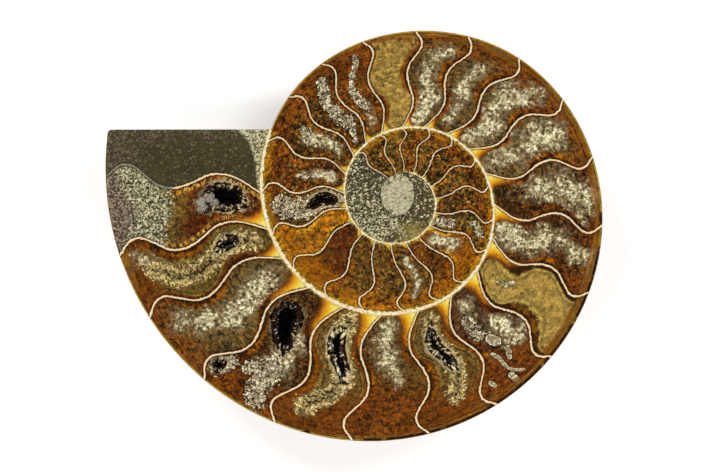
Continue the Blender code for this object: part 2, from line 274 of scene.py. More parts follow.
# what fills the chambers beside their tone: stretches of each kind, each with its chamber, the share of
# the way out and the place across the chamber where it starts and where it ends, and its half width in mm
fillings = {
    "needles": (
        (2, 0.2, 0.0, 0.86, 0.05, 2.2), (2, 0.76, 0.1, 0.84, 0.02, 1.9), (5, 0.15, 0.0, 0.62, 0.15, 2.4),
        (5, 0.6, 0.1, 0.86, -0.25, 2.0), (7, 0.18, 0.0, 0.82, 0.1, 1.9),
    ),
    "druse": (
        (2, 0.85, -0.05, 0.93, -0.35, 1.5), (3, 0.2, 0.15, 0.62, 0.1, 2.2), (3, 0.6, -0.1, 0.9, -0.2, 2.2),
        (4, 0.58, 0.2, 0.76, 0.15, 3.0), (6, 0.16, 0.0, 0.62, 0.0, 2.0), (8, 0.2, -0.1, 0.3, -0.05, 1.6),
        (8, 0.5, 0.4, 0.7, 0.4, 2.2), (9, 0.3, -0.15, 0.42, 0.1, 0.6), (10, 0.14, 0.0, 0.56, -0.05, 2.8),
        (10, 0.72, 0.0, 0.95, 0.25, 2.5), (11, 0.56, -0.05, 0.94, 0.1, 3.7),
        (12, 0.14, 0.0, 0.3, 0.0, 1.3), (12, 0.34, 0.0, 0.78, 0.1, 3.0), (13, 0.14, 0.0, 0.84, 0.0, 2.6),
        (14, 0.2, 0.1, 0.8, 0.0, 1.4), (15, 0.16, 0.1, 0.86, 0.0, 1.8), (17, 0.2, 0.2, 0.5, 0.1, 0.8),
        (19, 0.3, 0.0, 0.66, -0.2, 1.3), (20, 0.25, 0.1, 0.66, 0.0, 0.8), (26, 0.35, 0.1, 0.84, -0.1, 0.7),
        (28, 0.25, 0.0, 0.62, 0.1, 1.2),
    ),
    "chunks": (
        (4, 0.74, 0.1, 0.93, 0.55, 2.2), (4, 0.66, -0.1, 0.8, -0.35, 1.3),
        (4, 0.84, -0.65, 0.9, -0.7, 1.7), (8, 0.36, -0.3, 0.5, -0.35, 1.4),
        (17, 0.46, 0.1, 0.66, 0.05, 0.9), (17, 0.66, 0.05, 0.92, -0.15, 0.55),
        (18, 0.16, 0.15, 0.42, -0.1, 0.6), (18, 0.4, -0.1, 0.62, -0.3, 1.4),
        (18, 0.66, -0.25, 0.88, -0.2, 1.15), (19, 0.68, -0.2, 0.76, -0.25, 0.8),
        (20, 0.5, 0.1, 0.62, 0.05, 0.5), (21, 0.1, 0.0, 0.6, 0.05, 1.5), (21, 0.58, 0.0, 0.84, 0.0, 2.2),
        (29, 0.1, 0.0, 0.4, -0.1, 1.0), (29, 0.76, 0.2, 0.88, 0.2, 0.8),
    ),
    "shapes": (
        (8, 0.6, -0.33, 0.64, -0.26, 1.1), (8, 0.735, -0.02, 0.795, 0.05, 0.6),
        (8, 0.7, -0.62, 0.82, -0.12, 0.42), (8, 0.82, -0.12, 0.93, 0.46, 0.3),
        (8, 0.9, 0.08, 0.94, 0.06, 0.75), (8, 0.86, -0.62, 0.89, -0.5, 0.5),
    ),
}


def fillingField(kind, x, y, phase):
    # 1 on the middle line of the nearest stretch of this kind, 0 at its half width and less beyond
    field = np.full(x.size, -3.0)
    x, y, phase, shape = x.ravel(), y.ravel(), phase.ravel(), x.shape
    places = np.linspace(0, 1, 7)
    for number, share, across, endShare, endAcross, half in fillings[kind]:
        shares = share + (endShare - share) * places
        spots = chamberSpot(number, shares, across + (endAcross - across) * places)
        near = np.flatnonzero(np.abs(phase - number - 0.5) < 0.62)
        distance = np.full(len(near), far)
        for spotX, spotY, alongX, alongY in zip(*spots[:2], np.diff(spots[0]), np.diff(spots[1])):
            fromX = x[near] - spotX
            fromY = y[near] - spotY
            reach = np.clip((fromX * alongX + fromY * alongY) / (alongX ** 2 + alongY ** 2), 0, 1)
            distance = np.minimum(distance, np.hypot(fromX - reach * alongX, fromY - reach * alongY))
        field[near] = np.maximum(field[near], 1 - distance / half)
    return field.reshape(shape)


# half a whorl wall's thickness in mm, at degrees along the coil; the innermost whorls have no wall
wallPlaces = (513, 545, 620, 680, 720, 810, 873, 950, 1080, 1140, 1170, 1233)
wallHalves = (0.3, 0.42, 0.45, 0.34, 0.27, 0.27, 0.22, 0.2, 0.18, 0.15, -0.5, -1.0)


def faceFields(angle, x, y):
    # every field that the cut face's finish reads, at points whose angle isn't wrapped; a whorl's fields
    # change from one wall to the next, so the even and the odd whorls each have their own, and "wall" is
    # below 0 in odd ones
    radius = np.maximum(np.hypot(x, y), 0.02)
    whorl = sum((radius < edgeRadius(angle + 360 * number)).astype(int) for number in (1, 2, 3))
    fromInner = radius - edgeRadius(angle + 360 * (whorl + 1))
    fromOuter = np.where(whorl > 0, edgeRadius(angle + 360 * whorl) - radius, far)
    innerNearer = fromInner < fromOuter
    own = whorlFields(angle, radius, whorl)
    other = whorlFields(angle, radius, np.where(innerNearer, whorl + 1, whorl - 1))
    isEven = whorl % 2 == 0
    even = [np.where(isEven, a, b) for a, b in zip(own, other)]
    odd = [np.where(isEven, b, a) for a, b in zip(own, other)]
    distance = np.minimum(fromInner, fromOuter)
    wallAlong = angle + 360 * np.where(innerNearer, whorl + 1, whorl)
    fields = {
        "sawn": np.where((angle < 200) & (x < 0), coil["sawLine"] - y, far),
        "wall": np.where(isEven, distance, -distance),
        "wallHalf": np.interp(wallAlong, wallPlaces, wallHalves),
        "even": np.stack(even[:3], axis=-1),
        "odd": np.stack(odd[:3], axis=-1),
        "evenShare": even[3],
        "oddShare": odd[3],
        "edge": edgeRadius(angle) - radius,
        "mouth": hollowDistance(x, y)[0],
    }
    return fields | {kind: fillingField(kind, x, y, own[0]) for kind in fillings}


def flankFields(angle, x, y, height):
    # on the outside only the last whorls show, each from its seam to its edge; "edge" is the mm above the
    # underside
    radius = np.maximum(np.hypot(x, y), 0.02)
    seam = coil["seamShare"]
    passed = sum((radius < seam * edgeRadius(angle + 360 * number)).astype(int) for number in (0, 1))
    along = angle + 360 * passed
    outer = edgeRadius(along)
    share = np.clip((radius / outer - seam) / (1 - seam), 0, 1)
    lean = np.interp(share, coil["flankShares"], coil["flankLean"])
    septa = (coil["septa"][0] - 170, *coil["septa"])
    phase = np.interp(along - lean, septa, (-9, *range(1, len(septa))))
    whorl = np.stack((phase, 0.31 * radius, radius - seam * outer), axis=-1)
    return {"even": whorl, "evenShare": share, "edge": np.broadcast_to(height, x.shape)}


# the stone's mesh: rows of the cut face, the upright side and the underside
stone = {
    "faceRows": 94,
    "faceCrowding": 1.3,
    "rimRows": 2,
    "sideRows": 5,
    "flankRows": 24,
    "flankCrowding": 1.25,
    "umbilicusRows": 9,
    "closing": 0.08,    # the grid's two ends are made one where they are this near, in mm
    "snap": 0.4,        # a grid point this near to a hollow's mouth, in grid steps, moves onto it
    "arris": 0.12,      # the cut face's edge is worn back this far, in mm
    "ribDepth": 0.1,    # the growth folds on the flank, in mm
    "ribsPerTurn": 46,
    "ribSweep": 260,    # the degrees of a fold that it sweeps on its way out
    "bowlPower": 2.86,  # of a hollow's size in its depth
    "bowlEdge": 0.04,   # a hollow starts this far inside its mouth, in mm
    "sharp": 38,        # edges turn sharp past this angle
    # the baked picture: left, bottom, and the scale across and up; or the two sides of a strip
    "facePicture": (0.01, 0.01, 0.8, 0.8),
    "flankPicture": (0.99, 0.685, -0.37, 0.37),
    "sidePicture": (0.83, 0.9),
    "stepPicture": (0.92, 0.98),
}


def flankShape(share):
    # a whorl's depth as a share of its half width: 1 on its widest line, and on each side of that a root
    # of 1 less a power of the way to the seam or to the edge
    towardsSeam = np.clip((coil["widest"] - share) / coil["widest"], 0, 1)
    towardsEdge = np.clip((share - coil["widest"]) / (1 - coil["widest"]), 0, 1)
    seamPower, seamRoot = coil["seamPowers"]
    edgePower, edgeRoot = coil["edgePowers"]
    seamSide = (1 - towardsSeam ** seamPower) ** seamRoot
    return np.where(share < coil["widest"], seamSide, (1 - towardsEdge ** edgePower) ** edgeRoot)


def whorlDepth(along, radius):
    # how deep one whorl reaches: its half width by the flank's shape, less the folds' relief
    edge = edgeRadius(along)
    seam = coil["seamShare"] * edge
    halfWidth = np.minimum(coil["thickness"], coil["widthBase"] + coil["widthShare"] * edge)
    share = (radius - seam) / (edge - seam)
    rib = np.sin(np.radians(along * stone["ribsPerTurn"] + stone["ribSweep"] * np.clip(share, 0, 1) ** 2))
    relief = stone["ribDepth"] * (0.5 + 0.5 * rib)
    relief = relief * np.clip(share * 3 - 0.6, 0, 1) * np.clip(8 - 8 * share, 0, 1)
    depth = halfWidth * flankShape(np.clip(share, 0, 1)) - relief
    return np.where((share >= 0) & (share <= 1), depth, 0.0)


def depthBelow(direction, radius, lastWhorl):
    # how far the stone reaches below the cut face: the deepest whorl there, blended with the others at a
    # seam
    first = np.where(lastWhorl, direction, direction + 360)
    end = coil["edgeStart"] + coil["edgeStep"] * (len(coil["edgeRadii"]) - 1)
    turns = [first + 360 * turn for turn in range(4)]
    depths = [np.where(along < end, whorlDepth(along, radius), 0.0) for along in turns]
    depths.append(coil["coreDepth"] * (1 - ease(radius / sawSeam)))
    blended = sum(np.maximum(depth, 0) ** coil["blend"] for depth in depths) ** (1 / coil["blend"])
    return np.clip(blended, coil["rim"], coil["thickness"])


def undersideGrid():
    # columns from the outline to the centre: their rows follow the seam, and near the sawn end they run
    # along it
    angle = columnAngles[:, None]
    nearEnd = ease((angle - (notchAngle + 360 - coil["twist"])) / coil["twist"])
    seam = coil["seamShare"] * edgeRadius(angle)
    seam = seam + (sawSeam - seam) * nearEnd
    share = 1 - np.linspace(0, 1, stone["flankRows"] + 1) ** stone["flankCrowding"]
    flank = seam + (columnRadii[:, None] - seam) * share[None, :]
    towardsCentre = np.linspace(1, 0, stone["umbilicusRows"] + 1)[1:-1]
    radius = np.concatenate((flank, seam * towardsCentre[None, :]), axis=1)
    held = np.clip(radius, sawSeam, notchRadius)
    sawDirection = 180 - np.degrees(np.arcsin(coil["sawLine"] / held))
    nearness = 1 - ease(np.minimum(angle - notchAngle, notchAngle + 360 - angle) / coil["twist"])
    turned = angle + (sawDirection - notchAngle) * nearness
    direction = turned % 360
    x, y = spotAt(radius, turned)
    lastWhorl = (direction > 180) | ((direction > 90) & (y < coil["sawLine"] + 1e-6))
    lastWhorl[-1] = False
    depth = depthBelow(direction, radius, lastWhorl)
    x[-1], y[-1] = x[0], y[0]
    depth[-1] = np.where(np.abs(depth[-1] - depth[0]) < stone["closing"], depth[0], depth[-1])
    return x, y, coil["thickness"] - depth, turned


def quads(rows, columns):
    # the faces of a grid of points, column by column: a point, the next, and the two beside them in the
    # next column
    first = (np.arange(columns - 1)[:, None] * rows + np.arange(rows - 1)[None, :]).ravel()
    return np.stack((first, first + 1, first + rows + 1, first + rows), axis=-1)


def faceGrid():
    # the cut face as rings from the centre to the outline, drawn onto the hollows' mouths and let down
    # into them: a bowl's depth is its full depth times the root of 1 less a power of its size
    share = (np.arange(stone["faceRows"] + 1) / stone["faceRows"]) ** stone["faceCrowding"]
    inset = 1 - stone["arris"] / columnRadii
    x = (outlineX * inset)[:, None] * share[None, :]
    y = (outlineY * inset)[:, None] * share[None, :]
    rowStep = columnRadii[:, None] * np.gradient(share)[None, :]
    columnStep = columnRadii[:, None] * share[None, :] * np.radians(np.gradient(columnAngles))[:, None]
    snap = stone["snap"] * np.minimum(rowStep, np.abs(columnStep))
    for _ in range(3):
        mouth, awayX, awayY, *_ = hollowDistance(x, y)
        move = np.where(np.abs(mouth) < snap, -mouth, 0.0)
        x = x + move * awayX
        y = y + move * awayY
    x[-1], y[-1] = x[0], y[0]
    mouth, _, _, size, depth = hollowDistance(x, y)
    bowl = depth * np.sqrt(np.clip(1 - np.clip(size, 0, 1) ** stone["bowlPower"], 0, 1))
    z = coil["thickness"] - np.where(mouth < -stone["bowlEdge"], bowl, 0.0)
    z[-1] = z[0]
    drift = (np.degrees(np.arctan2(y, x)) - columnAngles[:, None] + 180) % 360 - 180
    drift[:, 0] = 0
    return x, y, z, columnAngles[:, None] + drift


def sideGrid(bottom):
    # the upright side: over the worn arris, down the rim, and at the sawn end on down to the underside's
    # first row
    rimShare = np.linspace(0, 1, stone["rimRows"] + 1)[1:]
    belowShare = np.linspace(0, 1, stone["sideRows"] + 1)[1:]
    rimBottom = coil["thickness"] - coil["rim"]
    arris = coil["thickness"] - stone["arris"]
    levels = np.concatenate(([coil["thickness"], arris], arris + (rimBottom - arris) * rimShare))
    upper = np.repeat(levels[None, :], len(bottom), axis=0)
    lower = rimBottom + (bottom[:, None] - rimBottom) * belowShare[None, :]
    z = np.concatenate((upper, lower), axis=1)
    inset = 1 - stone["arris"] / columnRadii[:, None] * (np.arange(z.shape[1]) == 0)
    return outlineX[:, None] * inset, outlineY[:, None] * inset, z


def stepGrid(x, y, z):
    # the rest of the sawn end, where it stands over the older whorl: between the underside's first and
    # last column
    share = np.linspace(1, 0, stone["sideRows"] + 1)[None, :]
    low, high = z[0][:, None], z[-1][:, None]
    across = [np.repeat(line[0][:, None], share.shape[1], axis=1) for line in (x, y)]
    return *across, high + (low - high) * share


class WeldedMesh:
    # gathers grids, each with its finish, its fields and its part of the baked picture, and welds them
    # into one mesh
    def __init__(self):
        self.points, self.pictures, self.faces, self.finishes, self.fields = [], [], [], [], []
        self.count = 0

    def add(self, x, y, z, picture, finish, fields, copies=1):
        # the grid may hold several copies of a shape, one after the other along its columns
        columns, rows = x.shape[0] // copies, x.shape[1]
        starts = self.count + columns * rows * np.arange(copies)
        faces = (quads(rows, columns)[None] + starts[:, None, None]).reshape(-1, 4)
        self.points.append(np.stack((x, y, z), axis=-1).reshape(-1, 3))
        self.pictures.append(np.stack(picture, axis=-1).reshape(-1, 2))
        self.faces.append(faces)
        self.finishes.append(np.full(len(faces), finish, np.int32))
        self.fields.append(fields)
        self.count += x.size

    def build(self, name, materials, sharp):
        # points that are the same to 0.0001 mm become one, each face gives two triangles, and a triangle
        # with a corner twice is left out
        points = np.concatenate(self.points)
        faces = np.concatenate(self.faces)
        finishes = np.concatenate(self.finishes)
        _, first, welded = np.unique(np.round(points, 4), axis=0, return_index=True, return_inverse=True)
        ring = welded.reshape(-1)[faces]
        triangles, corners, kinds = [], [], []
        for order in ((0, 1, 2), (0, 2, 3)):
            picked = ring[:, order]
            whole = (picked != np.roll(picked, 1, axis=1)).all(axis=1)
            triangles.append(picked[whole])
            corners.append(faces[:, order][whole])
            kinds.append(finishes[whole])
        corners = np.concatenate(corners).ravel()
        used, triangles = np.unique(np.concatenate(triangles), return_inverse=True)
        mesh = bpy.data.meshes.new(name)
        spots = (points[first][used] - np.array([middle[0], middle[1], 0.0])) / 1000
        mesh.from_pydata(spots.tolist(), [], triangles.reshape(-1, 3).tolist())
        for material in materials:
            mesh.materials.append(material)
        mesh.polygons.foreach_set("material_index", np.concatenate(kinds))
        for label, whole in self.fields[0].items():
            size = whole.shape[2:]    # 3 for a vector, and a grid without this field has 0 in it
            parts = [
                fields[label].reshape(-1, *size) if label in fields else np.zeros((len(grid), *size))
                for grid, fields in zip(self.points, self.fields)]
            layer = mesh.attributes.new(label, "FLOAT_VECTOR" if size else "FLOAT", "CORNER")
            values = np.concatenate(parts)[corners].astype(np.float32)
            layer.data.foreach_set("vector" if size else "value", values.ravel())
        layer = mesh.uv_layers.new(name="OFBake")
        layer.data.foreach_set("uv", np.concatenate(self.pictures)[corners].astype(np.float32).ravel())
        mesh.shade_smooth()
        mesh.set_sharp_from_angle(angle=math.radians(sharp))
        return placed(name, mesh)


def placed(name, data):
    # a new object in the scene, at the origin
    made = bpy.data.objects.new(name, data)
    bpy.context.scene.collection.objects.link(made)
    return made


def flatPicture(x, y, left, bottom, across, up):
    # a face seen from above in the baked picture: its corner, plus the place by its scale over the
    # stone's length
    length = np.ptp(outlineX)
    return left + across * (x - outlineX.min()) / length, bottom + up * (y - outlineY.min()) / length


def stripPicture(grid, low, high):
    # a strip up the baked picture's right side: across it by the rows and up it by the columns
    columns, rows = grid.shape
    u = np.linspace(low, high, rows)[None, :]
    v = np.linspace(0.01, 0.66, columns)[:, None]
    return np.stack((np.broadcast_to(u, grid.shape), np.broadcast_to(v, grid.shape)))


def buildStone(materials):
    # the cut face, the rim with the side and the sawn end, the underside, and the rest of the sawn end
    mesh = WeldedMesh()

    def addOutside(x, y, z, angle, picture, finish, bottom):
        # a grid of the outside, with the height above its bottom
        fields = flankFields(np.broadcast_to(angle, x.shape), x, y, z - bottom)
        mesh.add(x, y, z, picture, finish, fields)

    x, y, z, angle = faceGrid()
    mesh.add(x, y, z, flatPicture(x, y, *stone["facePicture"]), 0, faceFields(angle, x, y))
    underX, underY, underZ, turned = undersideGrid()
    side = sideGrid(underZ[:, 0])
    picture = stripPicture(side[0], *stone["sidePicture"])
    sawn = int(np.sum(columnAngles < cornerAngle - 0.5))
    angle = columnAngles[:, None]
    bottom = underZ[:, :1]
    for finish, part in ((2, slice(0, sawn + 1)), (1, slice(sawn, None))):
        addOutside(*(grid[part] for grid in (*side, angle)), picture[:, part], finish, bottom[part])
    centre = np.zeros((len(underX), 1))
    x = np.concatenate((underX, centre), axis=1)
    y = np.concatenate((underY, centre), axis=1)
    z = np.concatenate((underZ, centre + coil["thickness"] - coil["coreDepth"]), axis=1)
    picture = flatPicture(x, y, *stone["flankPicture"])
    addOutside(x, y, z, np.concatenate((turned, turned[:, -1:]), axis=1), picture, 1, z)
    x, y, z = stepGrid(underX, underY, underZ)
    picture = stripPicture(x, *stone["stepPicture"])
    addOutside(x, y, z, turned[0][:, None], picture, 2, z.min(axis=1, keepdims=True))
    return mesh.build("fossilHalf", materials, stone["sharp"])


# the crusts: a lumpy lining, and crystals that grow out of it, in mm
crust = {
    "turns": 56,
    "rows": 10,
    "gap": 0.06,            # between the lining and the stone
    "wall": 0.4,
    "sunk": 0.35,           # from the cut face down to the lining's rim
    "crystalsSunk": 0.2,
    "lumps": 0.22,
    "fallPower": 0.7,       # a bowl's size is the cosine of its fall to this power
    "lean": 0.3,            # how far the crystals lean at random
    "lengths": (0.35, 1.0),    # of the longest
    "longestShare": 0.8,       # and that is at most this share of the hollow's half width
    "widths": (0.16, 0.3),     # of a crystal's length
    "shoulder": (0.72, 0.8),   # its place along a crystal, and its width there
    "falls": (0.03, 0.97),     # the sines of the falls where crystals stand
    "rootDepth": 0.93,         # of the hollow's depth
    "aim": 0.25,               # crystals point at this share of their own place in the bowl
    "below": 0.02,             # they end this far under the cut face
    "lumpTurns": 24,
    "lumpRows": 14,
    "knobs": (0.09, 0.05),     # how far the large and the small knobs swell, as a share of the radius
    # the lining's tone stays under the 0.36 at which crystals turn pale, so it is painted dark all over as
    # shade in the hollow
    "tones": {"lining": 0.35, "lump": -1.0},
    "roughness": 0.22,
    "seed": 11,
    "sharp": 32,
}
# grey rounded lumps in the first hollow: share of the way out, place across, radius and depth below the
# face
greyLumps = (
    (0.5, 0.05, 1.5, 1.6), (0.44, -0.2, 1.3, 1.9), (0.47, -0.38, 1.1, 1.5), (0.41, 0.12, 1.2, 2.6),
    (0.5, -0.22, 1.2, 0.9),
)


def bowlSpot(hollow, turn, size, inset):
    # a place in a hollow: along its middle line by the cosine of the turn, and beside it by the sine
    chamber, inner, outer, (low, high) = (hollow[key] for key in ("chamber", "inner", "outer", "across"))
    start = chamberSpot(chamber, inner, low)
    end = chamberSpot(chamber, outer, high)
    length = math.hypot(end[0] - start[0], end[1] - start[1]) / 2
    place = size * (1 - inset / length) * np.cos(turn)
    across = (low + high) / 2 + (high - low) / 2 * place
    x, y, angle = chamberSpot(chamber, (inner + outer) / 2 + (outer - inner) / 2 * place, across)
    side = (hollow["half"] - inset) * size * np.sin(turn)
    return x - side * np.sin(np.radians(angle)), y + side * np.cos(np.radians(angle))


def unit(vectors):
    # each vector divided by its length
    return vectors / np.linalg.norm(vectors, axis=1, keepdims=True)


def liningGrid(hollow):
    # up the lining's outside and down its inside, with lumps on the inside made of sines of the turn and
    # the fall
    fall = np.linspace(90, 0, crust["rows"] + 1)
    fall = np.radians(np.concatenate((fall, fall[::-1])))
    isInside = np.arange(len(fall)) > crust["rows"]
    turn = np.radians(np.linspace(0, 360, crust["turns"] + 1))[:, None]
    size = np.clip(np.cos(fall), 0, 1) ** crust["fallPower"]
    inward = isInside * np.clip(np.sin(2 * fall), 0, 1) ** 0.5
    lumps = np.sin(5 * turn + 9 * fall) * np.sin(3 * turn - 4 * fall) + np.sin(11 * turn + 3 * fall) / 2
    inset = crust["gap"] + crust["wall"] * isInside + crust["lumps"] * (lumps + 1.5) / 2 * inward
    x, y = bowlSpot(hollow, turn, size[None, :], inset)
    z = coil["thickness"] - crust["sunk"] - (hollow["depth"] - inset) * np.sin(fall)[None, :]
    x[-1], y[-1], z[-1] = x[0], y[0], z[0]
    for row in (0, -1):
        x[:, row], y[:, row], z[:, row] = x[0, row], y[0, row], z[:, row].mean()
    return x[:, ::-1], y[:, ::-1], z[:, ::-1]


def crystalGrid(hollow, chance):
    # six-sided crystals as columns round each axis: base centre, base ring, shoulder and point, where a
    # corner is the root, plus the axis by its rise, plus the outward direction by its spread
    count = hollow["crystals"]
    fall = np.arcsin(chance.uniform(*crust["falls"], count))
    turn = chance.uniform(0, math.tau, count)
    size = np.cos(fall) ** crust["fallPower"]
    x, y = bowlSpot(hollow, turn, size, crust["gap"])
    z = coil["thickness"] - crust["crystalsSunk"] - hollow["depth"] * crust["rootDepth"] * np.sin(fall)
    aimX, aimY = bowlSpot(hollow, turn, size * crust["aim"], crust["gap"])
    axis = np.stack((aimX - x, aimY - y, crust["aim"] * hollow["half"] * np.sin(fall) ** 2), axis=-1)
    axis = unit(unit(axis) + chance.normal(0, crust["lean"], (count, 3)))
    aside = unit(np.cross(axis, np.array([0.31, 0.17, 0.93])))
    longest = min(hollow["longest"], hollow["half"] * crust["longestShare"])
    length = longest * chance.uniform(*crust["lengths"], count)
    width = length * chance.uniform(*crust["widths"], count)
    spin = np.radians(np.arange(7) * 60.0)[None, :, None]
    outward = aside[:, None] * np.cos(spin) + np.cross(axis, aside)[:, None] * np.sin(spin)
    along, wide = crust["shoulder"]
    rise = length[:, None, None, None] * np.array([0.0, 0.0, along, 1.0])[None, None, :, None]
    spread = width[:, None, None, None] * np.array([0.0, 1.0, wide, 0.0])[None, None, :, None]
    root = np.stack((x, y, z), axis=-1)
    spots = root[:, None, None, :] + rise * axis[:, None, None, :] + spread * outward[:, :, None, :]
    spots[:, -1] = spots[:, 0]
    spots[..., 2] = np.minimum(spots[..., 2], coil["thickness"] - crust["below"])
    outwards = np.cos(turn) * size / 2 + 0.5
    grids = [spots[..., part].reshape(-1, 4)[:, ::-1] for part in range(3)]
    values = (chance.uniform(0, 1, count), outwards)
    return grids + [np.repeat(value, 4 * spin.size).reshape(-1, 4) for value in values]


def lumpGrid(hollow, share, across, radius, depth):
    # a closed globe with small knobs: its radius swells by a product of sines of its two angles
    around = np.radians(np.linspace(0, 360, crust["lumpTurns"] + 1))[:, None]
    down = np.radians(np.linspace(0, 180, crust["lumpRows"] + 1))[None, :]
    large, small = crust["knobs"]
    knobs = 1 + large * np.sin(5 * around) * np.sin(6 * down)
    knobs = radius * (knobs + small * np.cos(9 * around + 7 * down) * np.sin(down))
    x, y, _ = chamberSpot(hollow["chamber"], share, across)
    gridX = x + knobs * np.sin(down) * np.cos(around)
    gridY = y + knobs * np.sin(down) * np.sin(around)
    gridZ = coil["thickness"] - depth + knobs * np.cos(down) + 0 * around
    gridX[-1], gridY[-1], gridZ[-1] = gridX[0], gridY[0], gridZ[0]
    for row in (0, -1):
        gridX[:, row], gridY[:, row], gridZ[:, row] = x, y, gridZ[0, row]
    return gridX, gridY, np.minimum(gridZ, coil["thickness"] - 1.5 * crust["below"])


def buildCrust(name, hollow, chance, material):
    # one hollow's lining and crystals, and in the first hollow its grey lumps
    mesh = WeldedMesh()

    def addGrid(x, y, z, tone, outwards, start, copies=1):
        # the baked picture: seen from above, the lining on its left half and the crystals on its right
        picture = (start + 0.01 + 0.48 * (x - x.min()) / np.ptp(x), 0.01 + 0.98 * (y - y.min()) / np.ptp(y))
        pale = hollow["light"][0] + (hollow["light"][1] - hollow["light"][0]) * outwards
        fields = {"tone": np.broadcast_to(tone, x.shape), "pale": np.broadcast_to(pale, x.shape)}
        mesh.add(x, y, z, picture, 0, fields, copies)

    addGrid(*liningGrid(hollow), crust["tones"]["lining"], 0.5, 0.0)
    addGrid(*crystalGrid(hollow, chance), 0.5, hollow["crystals"])
    if hollow["chamber"] == 1:
        for lump in greyLumps:
            addGrid(*lumpGrid(hollow, *lump), crust["tones"]["lump"], 0.5, 0.5)
    return mesh.build(name.replace("crystal_crust", "calciteCrust"), [material], crust["sharp"])


def reckoned(operation):
    # an operator that adds one Math node
    return lambda self, *others: self.maths(operation, *others)


class Wire:
    # a socket that can be reckoned with: an expression on wires adds its Math nodes
    def __init__(self, finish, socket):
        self.finish = finish
        self.socket = socket

    def maths(self, operation, *others):
        # this wire and the others in one Math node
        return self.finish.node("ShaderNodeMath", {"operation": operation}, dict(enumerate((self, *others))))

    __add__ = __radd__ = reckoned("ADD")
    __sub__ = reckoned("SUBTRACT")
    __mul__ = __rmul__ = reckoned("MULTIPLY")
    __truediv__ = reckoned("DIVIDE")
    __pow__ = reckoned("POWER")
    __lt__ = reckoned("LESS_THAN")
    __gt__ = reckoned("GREATER_THAN")
    __abs__ = reckoned("ABSOLUTE")
    least = reckoned("MINIMUM")
    most = reckoned("MAXIMUM")

    def __rsub__(self, other):
        # the other less this
        return self * -1.0 + other

    def bell(self, centre, width):
        # 1 at the centre, and e to the minus square of the distance in widths beside it
        away = (self - centre) / width
        return (away * away * -1.0).maths("EXPONENT")

    def fromTo(self, low, high):
        # 0 up to low, 1 from high on, and an eased rise between; low may be the greater
        sockets = {"Value": self, "From Min": low, "From Max": high}
        return self.finish.node("ShaderNodeMapRange", {"interpolation_type": "SMOOTHSTEP"}, sockets)


